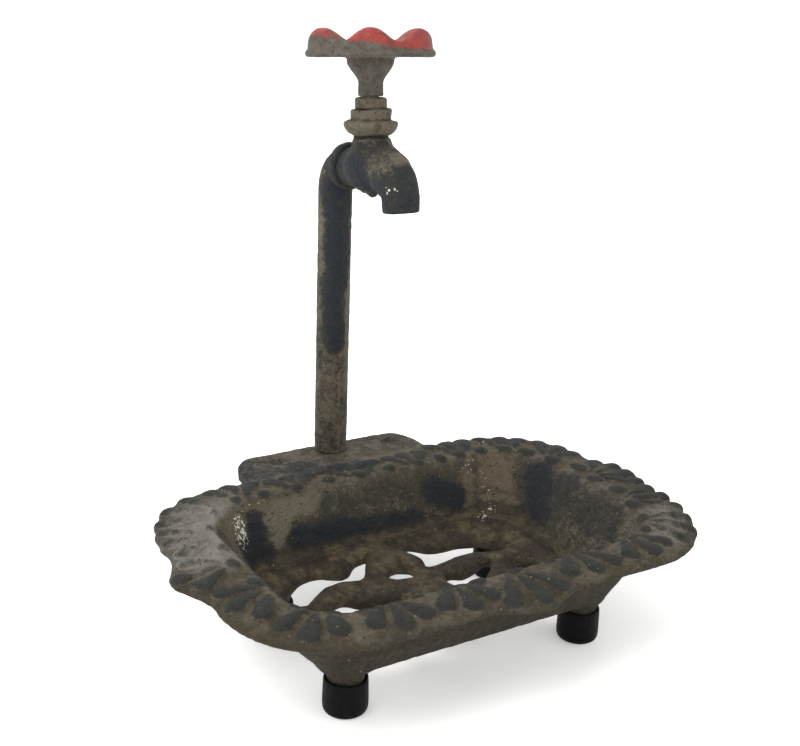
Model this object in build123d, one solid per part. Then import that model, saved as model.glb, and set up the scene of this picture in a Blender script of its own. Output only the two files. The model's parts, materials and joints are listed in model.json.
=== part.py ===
"""Miniature standpipe basin: a cast-iron openwork tray on four rubber boots with an ornamental tap.

Units are millimetres.  +Z is up and +X is to the right of someone facing the tap's spout, which
points along -Y.  The origin is the centre of the footprint, on the surface that the boots stand on.
"""

import os
from math import cos, pi, radians, sin, tan

from build123d import *

# Overall size
WIDTH = 167.0
DEPTH = 129.0

# Places
DISH_Y = -6.5
PIPE_R = 5.65
PIPE_Y = DEPTH / 2 - PIPE_R
TAP_Y = DISH_Y + 42.7
TAP_Z = 141.3
TAP_LEAN = 4.0
LEG_X = 42.0
LEG_Y = 23.6

# Tray rim
RIM_WIDTH = 156.0
RIM_DEPTH = 105.4
RIM_CORNER = 31.0
RIM_TOP = 39.8
RIM_EDGE_TOP = 39.2
RIM_EDGE_LOW = 36.8
RIM_SLOPE = 15.0
FAN_HALF = 13.0
FAN_TIP = 3.5

# Bowl
MOUTH_WIDTH = 125.0
MOUTH_DEPTH = 76.5
MOUTH_CORNER = 20.0
FLOOR_WIDTH = 99.0
FLOOR_DEPTH = 59.0
FLOOR_CORNER = 11.0
FLOOR_TOP = 20.5
FLOOR_LOW = 16.5
WALL = 3.6

# Openings between the floor's scrolls, as points from the dish's centre
OPENINGS = (
    (
        (-47.2, 5.8), (-42, 1.5), (-38, 4), (-32, 8), (-25.5, 9.2), (-19.5, 7.8), (-15, 12), (-12.5, 16.5),
        (-9.5, 22), (-14.5, 21), (-18.5, 17.2), (-21.6, 16), (-24.6, 17.2), (-28, 19.7), (-32, 19.7),
        (-37, 17.7), (-42, 14),
    ),
    (
        (3.8, 6), (9, 5.5), (15, 7), (22, 7), (30, 4.5), (35.5, 5.5), (36, 9.5), (32, 13.5), (26.5, 16),
        (21.5, 17.4), (15.5, 17.4), (11.5, 19), (8, 22.5), (3.5, 25.2), (2.5, 19), (5.2, 12),
    ),
    (
        (-43, -8), (-38, -3), (-32, 0.8), (-28.5, 0.6), (-25.5, -3), (-19, -4.5), (-12, -6), (-13, -12),
        (-10, -18.5), (-16, -18), (-22, -13.5), (-30, -17), (-39, -14),
    ),
    (
        (4, -3.5), (8, 0.4), (12.7, -1.4), (18.7, 0.6), (22, 2.4), (25.2, 2.2), (23.5, -1.5), (20, -4.8),
        (16, -8.2), (11, -10.5), (6, -9),
    ),
    ((31, -2.5), (37, -6), (37, -12), (31, -15.5), (24, -13), (28, -8)),
    ((-10, 5), (-5, 3.2), (-1, 4.5), (-0.5, 8), (-2.5, 10.5), (-6, 11.5), (-9.5, 9)),
)

# Ledge behind the bowl
LEDGE_LEFT = -36.5
LEDGE_RIGHT = 32.0
LEDGE_TOP = 39.2
LEDGE_THICK = 4.5
LEDGE_FRONT = DISH_Y + 50.0
LEDGE_BACK = DISH_Y + 70.2
LEDGE_CUT = 9.0
DIMPLE_X = 21.6
DIMPLE_Y = DISH_Y + 63.3
DIMPLE_R = 2.6
DIMPLE_DEEP = 1.0

# Legs and boots
LEG_R = 5.4
LEG_LOW = 3.0
BOOT_R = 6.65
BOOT_TOP_R = 6.45
BOOT_HIGH = 11.0
BOOT_ROUND = 1.6
FIT = 0.05

# Standpipe, its fixing screw and washers
ELBOW_R = 8.4
SCREW_R = 2.5
SCREW_CLEAR_R = 2.75
SCREW_REACH = 12.0
WASHER_R = 5.2
WASHER_THICK = 1.0
LOCK_R = 4.6
LOCK_THICK = 1.3
HEAD_R = 4.25
HEAD_HIGH = 3.1

# The tap's own frame has its origin at the globe's centre, the spindle along +Z and the spout to -Y.
# Inlet: collar and stud
INLET_DROP = 1.0
COLLAR_LOW = 11.8
COLLAR_HIGH = 14.6
COLLAR_R = 7.3
COLLAR_BORE_R = 3.2
STUD_R = 3.0
STUD_REACH = 5.0

# Globe, neck and spout
GLOBE_R = 8.0
INLET_BOSS_R = 6.0
NECK_R = 5.6
NECK_TOP = 8.6
SPOUT_R = 5.6
SPOUT_OUT = 17.4
SPOUT_LOW = -12.4
SPOUT_BEND = 9.0
SPOUT_TURN = 86.0
MOUTH_R = 3.7
MOUTH_DEEP = 3.0
NUB_R = 2.0
NUB_LOW = -8.8
SEAT_R = 3.5
SEAT_LOW = 1.6

# Bonnet, gland nut and packing
GASKET_R = 5.4
GASKET_THICK = 0.7
FLANGE_R = 8.25
FLANGE_TOP = 13.5
BONNET_R = 6.4
BONNET_TOP = 17.2
BONNET_LOW = 3.6
BONNET_ROOM_R = 4.0
BONNET_ROOM_LOW = 14.1
PACKING_LOW = 15.6
PACKING_THICK = 0.7
GLAND_SPIGOT_LOW = 16.35
GLAND_R = 4.8
GLAND_TOP = 20.9

# Spindle
SPINDLE_R = 2.5
SPINDLE_LOW = 3.2
SPINDLE_COLLAR_R = 3.9
SPINDLE_SHOULDER = 32.4
SQUARE = 3.4
SQUARE_TOP = 37.2

# Handwheel and its fixing
STEM_LOW = 21.2
STEM_R = 3.8
HUB_R = 6.6
FLARE_LOW = 28.2
WHEEL_LOW = 32.9
WHEEL_R = 19.5
WHEEL_BAND = 1.8
WEB_TOP = 36.4
HUB_TOP = 37.6
WHEEL_TOP = 40.5
LOBES = 6
LOBE_AT = 15.8
LOBE_R = 6.0
CAP_WASHER_R = 3.5
CAP_WASHER_THICK = 0.6
CAP_SCREW_R = 1.25
CAP_SCREW_REACH = 6.0
CAP_HEAD_R = 2.7
CAP_HEAD_HIGH = 1.9

TAP_FRAME = Pos(0, TAP_Y, TAP_Z) * Rot(-TAP_LEAN, 0, 0)


def rounded(width, depth, corner, z):
    """A rounded rectangle about the dish's centre, at height z."""
    return Pos(0, DISH_Y, z) * RectangleRounded(width, depth, corner)


def disc(radius, low, high, x=0.0, y=0.0):
    """An upright cylinder from height low to height high."""
    return Pos(x, y, low) * Cylinder(radius, high - low, align=(Align.CENTER, Align.CENTER, Align.MIN))


def fan(tip, side):
    """The flat outline of one palmette that stands out of the rim, pointing along +X before turning."""
    root = side - 4.0
    outline = Polyline(
        (root, -FAN_HALF),
        (side, -FAN_HALF),
        (tip, -FAN_TIP),
        (tip, FAN_TIP),
        (side, FAN_HALF),
        (root, FAN_HALF),
        close=True,
    )
    return make_face(outline)


def make_rim():
    """The sloped, flat-bottomed band round the bowl's mouth, with a palmette at the middle of each side."""
    outline = rounded(RIM_WIDTH, RIM_DEPTH, RIM_CORNER, RIM_EDGE_LOW)
    front = DEPTH / 2 + DISH_Y
    for tip, side, turn in (
        (WIDTH / 2, RIM_WIDTH / 2, 0),
        (WIDTH / 2, RIM_WIDTH / 2, 180),
        (front, RIM_DEPTH / 2, 270),
        (front, RIM_DEPTH / 2, 90),
    ):
        outline += Pos(0, DISH_Y, RIM_EDGE_LOW) * Rot(0, 0, turn) * fan(tip, side)
    edge = extrude(outline, RIM_EDGE_TOP - RIM_EDGE_LOW)
    crown_low = rounded(RIM_WIDTH, RIM_DEPTH, RIM_CORNER, RIM_EDGE_TOP)
    shrink = 2 * RIM_SLOPE
    crown_top = rounded(RIM_WIDTH - shrink, RIM_DEPTH - shrink, RIM_CORNER - RIM_SLOPE, RIM_TOP)
    return edge + loft([crown_low, crown_top])


def opening(points):
    """A cutter through the floor, with a smooth closed outline through points from the dish's centre."""
    curve = Spline(*[(x, y + DISH_Y) for x, y in points], periodic=True)
    face = Pos(0, 0, FLOOR_LOW - 1) * make_face(curve)
    return extrude(face, FLOOR_TOP - FLOOR_LOW + 2)


def make_ledge():
    """The flat plate behind the bowl, with two shallow dimples, that the standpipe stands on."""
    cut = LEDGE_BACK - LEDGE_CUT
    outline = Polyline(
        (LEDGE_LEFT, LEDGE_FRONT),
        (LEDGE_LEFT, cut),
        (LEDGE_LEFT + 5, LEDGE_BACK),
        (LEDGE_RIGHT - 5, LEDGE_BACK),
        (LEDGE_RIGHT, cut),
        (LEDGE_RIGHT, LEDGE_FRONT),
        close=True,
    )
    plate = extrude(Pos(0, 0, LEDGE_TOP - LEDGE_THICK) * make_face(outline), LEDGE_THICK)
    top_edges = plate.faces().sort_by(Axis.Z)[-1].edges()
    plate = chamfer(top_edges.filter_by_position(Axis.Y, LEDGE_FRONT + 1, LEDGE_BACK + 1), 1.0)
    for x in (-DIMPLE_X, DIMPLE_X):
        plate -= Pos(x, DIMPLE_Y, LEDGE_TOP - DIMPLE_DEEP) * Cone(
            0.6, DIMPLE_R, DIMPLE_DEEP, align=(Align.CENTER, Align.CENTER, Align.MIN)
        )
    return plate


def make_tray():
    """Rim, sloping bowl, openwork floor, ledge and four leg stubs: one casting."""
    outer = loft([
        rounded(FLOOR_WIDTH + 2 * WALL, FLOOR_DEPTH + 2 * WALL, FLOOR_CORNER + WALL, FLOOR_LOW),
        rounded(MOUTH_WIDTH + 2 * WALL, MOUTH_DEPTH + 2 * WALL, MOUTH_CORNER + WALL, RIM_EDGE_TOP),
    ])
    inner = loft([
        rounded(FLOOR_WIDTH, FLOOR_DEPTH, FLOOR_CORNER, FLOOR_TOP),
        rounded(MOUTH_WIDTH, MOUTH_DEPTH, MOUTH_CORNER, RIM_TOP),
    ])
    inner += extrude(rounded(MOUTH_WIDTH, MOUTH_DEPTH, MOUTH_CORNER, RIM_TOP), 4)
    tray = outer + make_rim() + make_ledge()
    for x in (-LEG_X, LEG_X):
        for y in (DISH_Y - LEG_Y, DISH_Y + LEG_Y):
            tray += disc(LEG_R, LEG_LOW, FLOOR_LOW + 2, x, y)
    tray -= inner
    for points in OPENINGS:
        tray -= opening(points)
    tray -= disc(SCREW_CLEAR_R, LEDGE_TOP - 2 * LEDGE_THICK, LEDGE_TOP + 1, 0, PIPE_Y)
    return tray


def make_boot(x, y):
    """A rubber cup pushed on to a leg stub, slightly wider at its foot."""
    boot = Pos(x, y, 0) * Cone(BOOT_R, BOOT_TOP_R, BOOT_HIGH, align=(Align.CENTER, Align.CENTER, Align.MIN))
    boot = fillet(boot.edges().sort_by(Axis.Z)[0], BOOT_ROUND)
    return boot - disc(LEG_R + FIT, LEG_LOW, BOOT_HIGH + 1, x, y)


def make_standpipe():
    """The upright bar whose elbow stops short of square, tapped at the foot and at the tap end."""
    lean = radians(TAP_LEAN)
    outward = Vector(0, -cos(lean), sin(lean))
    joint = TAP_FRAME * Pos(0, COLLAR_HIGH, -INLET_DROP)
    end = Vector(*joint.position)
    corner = end - outward * ((PIPE_Y - end.Y) / cos(lean))
    reach = ELBOW_R * tan((pi / 2 - lean) / 2)
    foot = Vector(0, PIPE_Y, LEDGE_TOP)
    bend_start = corner - Vector(0, 0, reach)
    bend_end = corner + outward * reach
    bend = TangentArc(bend_start, bend_end, tangent=(0, 0, 1))
    path = Line(foot, bend_start) + bend + Line(bend_end, end)
    pipe = sweep(Plane(origin=foot, z_dir=(0, 0, 1)) * Circle(PIPE_R), path)
    pipe = fillet(pipe.edges().sort_by(Axis.Z)[0], 0.8)
    pipe -= disc(SCREW_R, LEDGE_TOP - 1, LEDGE_TOP + SCREW_REACH + 1, 0, PIPE_Y)
    return pipe - TAP_FRAME * along_inlet(STUD_R, COLLAR_HIGH - 1, COLLAR_HIGH + STUD_REACH)


def make_standpipe_screw():
    """Pan-head screw that comes up through the ledge into the standpipe's foot."""
    under = LEDGE_TOP - LEDGE_THICK - WASHER_THICK - LOCK_THICK
    head = disc(HEAD_R, under - HEAD_HIGH, under, 0, PIPE_Y)
    head = fillet(head.edges().sort_by(Axis.Z)[0], 1.4)
    head -= Pos(0, PIPE_Y, under - HEAD_HIGH) * Box(12, 1.1, 2.4)
    return head + disc(SCREW_R - 0.02, under, LEDGE_TOP + SCREW_REACH, 0, PIPE_Y)


def make_standpipe_washer():
    """Flat washer against the underside of the ledge."""
    high = LEDGE_TOP - LEDGE_THICK
    ring = disc(WASHER_R, high - WASHER_THICK, high, 0, PIPE_Y)
    return ring - disc(SCREW_CLEAR_R, high - 3, high + 1, 0, PIPE_Y)


def make_standpipe_lock_washer():
    """Split spring washer between the screw's head and the flat washer."""
    high = LEDGE_TOP - LEDGE_THICK - WASHER_THICK
    ring = disc(LOCK_R, high - LOCK_THICK, high, 0, PIPE_Y)
    ring -= disc(SCREW_CLEAR_R, high - 3, high + 1, 0, PIPE_Y)
    return ring - Pos(LOCK_R - 0.8, PIPE_Y, high - LOCK_THICK / 2) * Rot(25, 0, 0) * Box(3, 0.6, 4)


def along_inlet(radius, low, high):
    """In the tap's frame: a cylinder on the inlet's axis, from low to high along Y."""
    return Pos(0, (low + high) / 2, -INLET_DROP) * Rot(90, 0, 0) * Cylinder(radius, high - low)


def make_inlet_collar():
    """Round collar clamped between the elbow and the tap body."""
    collar = along_inlet(COLLAR_R, COLLAR_LOW, COLLAR_HIGH)
    collar = fillet(collar.edges().filter_by(GeomType.CIRCLE), 1.0)
    return collar - along_inlet(COLLAR_BORE_R, COLLAR_LOW - 1, COLLAR_HIGH + 1)


def make_inlet_stud():
    """Threaded stud that joins the elbow, the collar and the tap body."""
    return along_inlet(STUD_R - 0.02, COLLAR_LOW - STUD_REACH + 0.3, COLLAR_HIGH + STUD_REACH - 0.3)


def make_spout():
    """The spout's bar: out from the globe, then bent down."""
    turn = radians(SPOUT_TURN)
    start = Vector(0, 0, 0.6)
    centre = Vector(0, SPOUT_BEND - SPOUT_OUT, 0.6 - SPOUT_BEND)
    bend_start = Vector(0, centre.Y, 0.6)
    bend_end = centre + Vector(0, -sin(turn), cos(turn)) * SPOUT_BEND
    down = Vector(0, -cos(turn), -sin(turn))
    mouth = bend_end + down * ((bend_end.Z - SPOUT_LOW) / sin(turn))
    bend = TangentArc(bend_start, bend_end, tangent=(0, -1, 0))
    path = Line(start, bend_start) + bend + Line(bend_end, mouth)
    spout = sweep(Plane(origin=start, z_dir=(0, -1, 0)) * Circle(SPOUT_R), path)
    recess = Plane(origin=mouth, z_dir=down) * Cylinder(MOUTH_R, 2 * MOUTH_DEEP)
    return spout - recess


def make_tap_body():
    """Globe body with an inlet boss, an upright neck, a bent spout and a drain nub underneath."""
    body = Sphere(GLOBE_R) + along_inlet(INLET_BOSS_R, 0, COLLAR_LOW)
    body += disc(NECK_R, 0, NECK_TOP)
    body += make_spout()
    body += disc(NUB_R, NUB_LOW, 0)
    body -= disc(SEAT_R + FIT, SEAT_LOW, NECK_TOP + 1)
    return body - along_inlet(STUD_R, COLLAR_LOW - STUD_REACH, COLLAR_LOW + 1)


def make_bonnet_gasket():
    """Thin fibre ring between the body's neck and the bonnet's flange."""
    ring = disc(GASKET_R, NECK_TOP, NECK_TOP + GASKET_THICK)
    return ring - disc(SEAT_R + FIT, NECK_TOP - 1, NECK_TOP + 2)


def make_bonnet():
    """Flanged bonnet whose spigot screws into the neck and whose room holds the spindle's collar."""
    low = NECK_TOP + GASKET_THICK
    flange = disc(FLANGE_R, low, FLANGE_TOP)
    flange = fillet(flange.edges().filter_by(GeomType.CIRCLE), 1.6)
    bonnet = flange + disc(BONNET_R, low, BONNET_TOP)
    bonnet += disc(SEAT_R, BONNET_LOW, low)
    bonnet -= disc(SPINDLE_R + FIT, BONNET_LOW - 1, BONNET_TOP)
    return bonnet - disc(BONNET_ROOM_R, BONNET_ROOM_LOW, BONNET_TOP + 1)


def make_gland_packing():
    """Friction ring squeezed on to the spindle's collar by the gland nut."""
    ring = disc(BONNET_ROOM_R - FIT, PACKING_LOW, PACKING_LOW + PACKING_THICK)
    return ring - disc(SPINDLE_R + FIT, PACKING_LOW - 1, PACKING_LOW + 2)


def make_gland_nut():
    """Round gland nut that closes the bonnet."""
    nut = disc(GLAND_R, BONNET_TOP, GLAND_TOP)
    nut = chamfer(nut.edges().sort_by(Axis.Z)[-1], 0.5)
    nut += disc(BONNET_ROOM_R - 0.02, GLAND_SPIGOT_LOW, BONNET_TOP)
    return nut - disc(SPINDLE_R + FIT, GLAND_SPIGOT_LOW - 1, GLAND_TOP + 1)


def make_spindle():
    """Spindle with a captive collar and a square end that drives the handwheel."""
    spindle = disc(SPINDLE_R, SPINDLE_LOW, SPINDLE_SHOULDER)
    spindle += disc(SPINDLE_COLLAR_R, BONNET_ROOM_LOW + FIT, PACKING_LOW - FIT)
    square_high = SQUARE_TOP - SPINDLE_SHOULDER
    spindle += Pos(0, 0, SPINDLE_SHOULDER + square_high / 2) * Box(SQUARE, SQUARE, square_high)
    return spindle - disc(CAP_SCREW_R, SQUARE_TOP - CAP_SCREW_REACH - 0.5, SQUARE_TOP + 1)


def make_lobe():
    """One domed lobe near the wheel's edge, standing on the band and cut to the wheel's round."""
    dome = Pos(LOBE_AT, 0, WHEEL_TOP - LOBE_R) * Sphere(LOBE_R)
    return dome & disc(WHEEL_R, WHEEL_LOW + WHEEL_BAND - 0.2, WHEEL_TOP + 1)


def make_handwheel():
    """Six-lobed wheel on a flared stem, bored for the spindle and its square end."""
    wheel = disc(WHEEL_R, WHEEL_LOW, WHEEL_LOW + WHEEL_BAND)
    wheel = chamfer(wheel.edges().filter_by(GeomType.CIRCLE), 0.4)
    wheel += disc(WHEEL_R - 2.0, WHEEL_LOW, WEB_TOP)
    for i in range(LOBES):
        wheel += Rot(0, 0, 360 / LOBES * i) * make_lobe()
    wheel += disc(HUB_R - 1.0, WHEEL_LOW, HUB_TOP)
    wheel += Pos(0, 0, FLARE_LOW) * Cone(
        STEM_R, HUB_R, WHEEL_LOW - FLARE_LOW, align=(Align.CENTER, Align.CENTER, Align.MIN)
    )
    wheel += disc(STEM_R, STEM_LOW, WHEEL_LOW)
    wheel -= disc(SPINDLE_R + 0.02, STEM_LOW - 1, SPINDLE_SHOULDER + 0.1)
    socket = SQUARE + 0.04
    socket_high = HUB_TOP + 1 - SPINDLE_SHOULDER
    return wheel - Pos(0, 0, SPINDLE_SHOULDER + socket_high / 2) * Box(socket, socket, socket_high)


def make_handwheel_washer():
    """Small washer on top of the handwheel's hub."""
    ring = disc(CAP_WASHER_R, HUB_TOP, HUB_TOP + CAP_WASHER_THICK)
    return ring - disc(CAP_SCREW_R + 0.15, HUB_TOP - 1, HUB_TOP + 2)


def make_handwheel_screw():
    """Slotted screw that holds the handwheel down on the spindle."""
    low = HUB_TOP + CAP_WASHER_THICK
    head = disc(CAP_HEAD_R, low, low + CAP_HEAD_HIGH)
    head = fillet(head.edges().sort_by(Axis.Z)[-1], 0.9)
    head -= Pos(0, 0, low + CAP_HEAD_HIGH) * Box(8, 0.8, 1.6)
    return head + disc(CAP_SCREW_R - 0.02, SQUARE_TOP - CAP_SCREW_REACH, low)


def main():
    """Write one STEP file per piece."""
    pieces = {
        "tray": make_tray(),
        "standpipe": make_standpipe(),
        "standpipe_screw": make_standpipe_screw(),
        "standpipe_washer": make_standpipe_washer(),
        "standpipe_lock_washer": make_standpipe_lock_washer(),
    }
    for end, y in (("front", DISH_Y - LEG_Y), ("rear", DISH_Y + LEG_Y)):
        for hand, x in (("left", -LEG_X), ("right", LEG_X)):
            pieces[f"rubber_boot_{end}_{hand}"] = make_boot(x, y)
    tap_pieces = {
        "inlet_collar": make_inlet_collar(),
        "inlet_stud": make_inlet_stud(),
        "tap_body": make_tap_body(),
        "bonnet_gasket": make_bonnet_gasket(),
        "bonnet": make_bonnet(),
        "gland_packing": make_gland_packing(),
        "gland_nut": make_gland_nut(),
        "spindle": make_spindle(),
        "handwheel": make_handwheel(),
        "handwheel_washer": make_handwheel_washer(),
        "handwheel_screw": make_handwheel_screw(),
    }
    for node, solid in tap_pieces.items():
        pieces[node] = TAP_FRAME * solid
    os.makedirs("parts", exist_ok=True)
    for node, solid in pieces.items():
        export_step(solid, f"parts/{node}.step")


main()
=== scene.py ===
"""Looks of the miniature standpipe basin: rough blackened cast iron, worn red handwheel, rubber boots.

Lengths in this script are in millimetres until a mesh is made, where MM turns them into metres.
The cast pieces are signed distance fields, turned into closed meshes by a surface net.
"""

import json
from itertools import product

import bpy
import numpy as np
from mathutils import Matrix, Vector


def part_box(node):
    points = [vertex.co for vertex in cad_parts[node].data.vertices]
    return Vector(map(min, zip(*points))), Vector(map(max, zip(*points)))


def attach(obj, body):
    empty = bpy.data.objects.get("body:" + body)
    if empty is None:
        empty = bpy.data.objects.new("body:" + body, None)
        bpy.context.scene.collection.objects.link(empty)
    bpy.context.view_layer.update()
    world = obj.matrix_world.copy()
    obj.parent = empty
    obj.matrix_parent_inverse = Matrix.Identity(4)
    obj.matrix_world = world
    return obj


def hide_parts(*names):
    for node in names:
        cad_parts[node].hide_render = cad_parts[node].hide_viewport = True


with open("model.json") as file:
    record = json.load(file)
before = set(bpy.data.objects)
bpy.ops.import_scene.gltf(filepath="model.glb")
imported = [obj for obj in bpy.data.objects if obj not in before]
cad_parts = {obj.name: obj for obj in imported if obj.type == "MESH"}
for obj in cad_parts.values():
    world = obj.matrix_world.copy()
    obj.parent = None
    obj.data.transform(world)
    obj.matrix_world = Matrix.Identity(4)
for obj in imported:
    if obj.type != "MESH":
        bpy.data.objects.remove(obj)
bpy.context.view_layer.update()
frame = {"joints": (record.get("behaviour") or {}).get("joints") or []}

MM = 0.001

# ---- places, from the frame


def node_box(name):
    """A CAD node's lowest and highest corners, in millimetres."""
    low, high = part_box(name)
    return np.array(low) / MM, np.array(high) / MM


TRAY_LOW, TRAY_HIGH = node_box("tray")
PIPE_LOW, PIPE_HIGH = node_box("standpipe")
FRONT_BOOT_LOW, FRONT_BOOT_HIGH = node_box("rubber_boot_front_left")
REAR_BOOT_LOW, REAR_BOOT_HIGH = node_box("rubber_boot_rear_right")
BOOT_FRONT = (FRONT_BOOT_LOW + FRONT_BOOT_HIGH) / 2
BOOT_REAR = (REAR_BOOT_LOW + REAR_BOOT_HIGH) / 2
DISH_Y = (BOOT_FRONT[1] + BOOT_REAR[1]) / 2
LEG_X = BOOT_REAR[0]
LEG_Y = (BOOT_REAR[1] - BOOT_FRONT[1]) / 2
JOINT = frame["joints"][0]
TAP_ORIGIN = np.array(JOINT["pos_m"]) / MM
TAP_UP = np.array(JOINT["axis"], float)
TAP_UP /= np.linalg.norm(TAP_UP)
TAP_LEAN = np.arctan2(TAP_UP[1], TAP_UP[2])

# ---- sizes of the tray, from its centre

MOUTH = (62.5, 38.25, 20.0)
FLOOR = (49.5, 29.5, 11.0)
WALL_OUT = 4.3
FLOOR_TOP = 20.9
FLOOR_LOW = 15.6
RIM = (78.3, 52.6, 31.0)
RIM_GROUND = 38.7
RIM_LOW = 36.1
SIDE_TIP = TRAY_HIGH[0]
FRONT_TIP = DISH_Y - TRAY_LOW[1]
LEDGE_X = (-36.5, 32.0)
LEDGE_Y = (47.0, 70.7)
LEDGE_Z = (34.7, 39.2)
LEDGE_CUT = 9.0
DIMPLES = ((-21.6, 63.3), (21.6, 63.3))
LEG_R = 5.4
LEG_FLARE = 1.2
CONE_OUT = (9.0, 1.5)  # a cone leans out from each leg to the rim
CONE_R = (6.4, 9.2)
CONE_TOP = RIM_LOW - 6.5
CORNERS = tuple(product((-1, 1), (-1, 1)))
SLOPE = 0.85  # the distance square to the leaning wall, as a share of the level one
BOWL_FILLET = 3.5
RIM_ROUND = 1.8
TRAY_TRIANGLES = 190000

# Petals on the rim, in fans: (the fan's heart, the tips of its petals)
FANS = (
    ((-38.0, -34.5), ((-46.3, -45.6), (-38.8, -48.0), (-31.8, -46.4))),
    ((-17.0, -35.0), ((-25.0, -46.2), (-17.8, -48.6), (-10.6, -46.8))),
    ((1.0, -36.5), ((-6.8, -52.0), (2.2, -54.2), (9.8, -50.8))),
    ((24.0, -35.0), ((16.6, -46.2), (24.8, -48.0), (32.2, -46.6))),
    ((46.0, -34.5), ((39.6, -46.2), (47.6, -47.4), (54.4, -44.8))),
    ((-54.5, -30.0), ((-67.6, -34.6), (-63.4, -42.2), (-55.4, -43.4))),
    ((-61.5, -16.0), ((-69.4, -27.4), (-74.4, -20.6), (-74.2, -12.2))),
    ((-64.5, 1.0), ((-76.4, -6.0), (-80.0, 0.8), (-76.2, 7.8))),
    ((-61.5, 18.0), ((-74.6, 13.8), (-75.6, 20.8), (-74.4, 28.2))),
    ((-54.5, 31.0), ((-72.6, 34.8), (-68.2, 42.0), (-60.4, 46.8))),
    ((-46.0, 35.5), ((-52.4, 48.2), (-45.6, 49.6), (-38.6, 49.0))),
    ((-26.0, 35.5), ((-31.8, 46.6), (-25.6, 47.4), (-19.4, 46.6))),
    ((-3.0, 35.5), ((-12.8, 46.2), (-3.6, 47.4), (5.6, 46.4))),
    ((18.0, 35.5), ((12.0, 46.6), (18.2, 47.4), (24.4, 46.6))),
    ((37.0, 35.5), ((31.8, 50.2), (38.6, 50.8), (45.4, 50.2))),
    ((53.5, 31.5), ((52.2, 48.6), (59.2, 46.4), (65.2, 42.6))),
    ((61.0, 20.5), ((70.0, 37.2), (73.6, 30.6), (75.0, 23.6))),
    ((65.0, 3.5), ((76.6, 13.6), (80.4, 8.6), (80.8, 2.0), (79.0, -4.4))),
    ((61.5, -16.0), ((78.4, -10.6), (78.6, -17.8), (76.6, -25.8))),
    ((56.0, -29.0), ((73.0, -33.0), (68.4, -40.0), (61.4, -44.2))),
)
PETAL_TIP_R = 3.15
PETAL_ROOT_R = 0.9
SCALLOP_R = 4.2
SCALLOP_IN = 1.2
PETAL_START = 0.36
PETAL_HIGH = 1.9
BEADS = (
    (-45.5, -37.0, 2.4), (-37.5, -36.4, 2.6), (-29.5, -37.6, 2.5), (-17.5, -37.2, 2.7), (-10.0, -38.6, 2.4),
    (2.5, -37.8, 3.0), (16.0, -37.6, 2.4), (24.0, -37.4, 2.4), (34.5, -38.0, 2.5), (47.5, -37.6, 2.6),
    (55.0, -35.8, 2.4), (-53.4, -35.0, 2.3), (-59.4, -27.6, 2.6), (-64.0, -12.0, 2.7), (-65.5, 0.5, 2.6),
    (-64.2, 10.5, 2.6), (-62.0, 24.0, 2.4), (-57.0, 34.0, 2.4), (-47.5, 39.0, 2.3), (-38.0, 39.6, 2.2),
    (-26.0, 39.8, 2.2), (-14.0, 39.8, 2.2), (-3.0, 39.8, 2.3), (9.0, 39.8, 2.2), (20.0, 39.8, 2.2),
    (29.0, 39.8, 2.4), (37.0, 39.8, 2.6), (46.0, 39.4, 2.6), (54.0, 36.6, 3.0), (60.0, 30.6, 3.2),
    (64.0, 21.0, 2.8), (67.4, 11.4, 3.4), (65.6, 1.0, 2.6), (67.0, -9.0, 3.0), (64.0, -20.0, 2.6),
    (60.0, -29.0, 2.6),
)
BEAD_HIGH = 1.7
MIDDLE_LEAF = (-3.5, 14.5)

# Openings between the floor's scrolls; their rounded edges begin that far inside the outline
OPENING_ROUND = 0.45
OPENINGS = (
    (
        (-47.2, 6.2), (-42, 2.2), (-38, 4.9), (-32, 9), (-25.5, 10.2), (-19.5, 8.8), (-15, 12.6),
        (-12.5, 16.8), (-9.5, 22), (-14.5, 21), (-18.5, 17.2), (-21.6, 16), (-24.6, 17.2), (-28, 19.7),
        (-32, 19.7), (-37, 17.7), (-42, 14),
    ),
    (
        (3.8, 7), (9, 6.7), (15, 8.2), (22, 8.2), (30, 5.7), (35.5, 6.5), (36, 10), (32, 13.8), (26.5, 16.2),
        (21.5, 17.4), (15.5, 17.4), (11.5, 19), (8, 22.5), (3.5, 25.2), (2.5, 19), (5.2, 12),
    ),
    (
        (-43, -8), (-38, -3), (-32, 0.8), (-28.5, 0.6), (-25.5, -3), (-19, -4.5), (-12, -6), (-13, -12),
        (-10, -18.5), (-16, -18), (-22, -13.5), (-30, -17), (-39, -14),
    ),
    (
        (4, -3.5), (8, 0.4), (12.7, -1.4), (18.7, 0.6), (22, 2.4), (25.2, 2.2), (23.5, -1.5), (20, -4.8),
        (16, -8.2), (11, -10.5), (6, -9),
    ),
    ((31, -2.5), (37, -6), (37, -12), (31, -15.5), (24, -13), (28, -8)),
    ((-10, 5), (-5, 3.2), (-1, 4.5), (-0.5, 8), (-2.5, 10.5), (-6, 11.5), (-9.5, 9)),
)

# ---- noise


def lattice(seed, size=64):
    """A periodic table of random values, -1 to 1."""
    return np.random.default_rng(seed).uniform(-1, 1, (size, size, size)).astype(np.float32)


LATTICE = lattice(11)


def noise(x, y, z, scale, seed=0):
    """Smooth value noise, about -1 to 1, with features about `scale` mm across."""
    size = len(LATTICE)
    shift = seed * 17.31
    whole = []
    part = []
    for value in (x, y, z):
        moved = np.asarray(value, np.float32) / scale + shift
        base = np.floor(moved)
        t = moved - base
        whole.append(base.astype(np.int32) % size)
        part.append(t * t * (3 - 2 * t))
    total = 0
    for i, j, k in product((0, 1), repeat=3):
        weight = (part[0] if i else 1 - part[0]) * (part[1] if j else 1 - part[1])
        weight = weight * (part[2] if k else 1 - part[2])
        corner = LATTICE[(whole[0] + i) % size, (whole[1] + j) % size, (whole[2] + k) % size]
        total = total + weight * corner
    return total


# ---- signed distances


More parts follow.
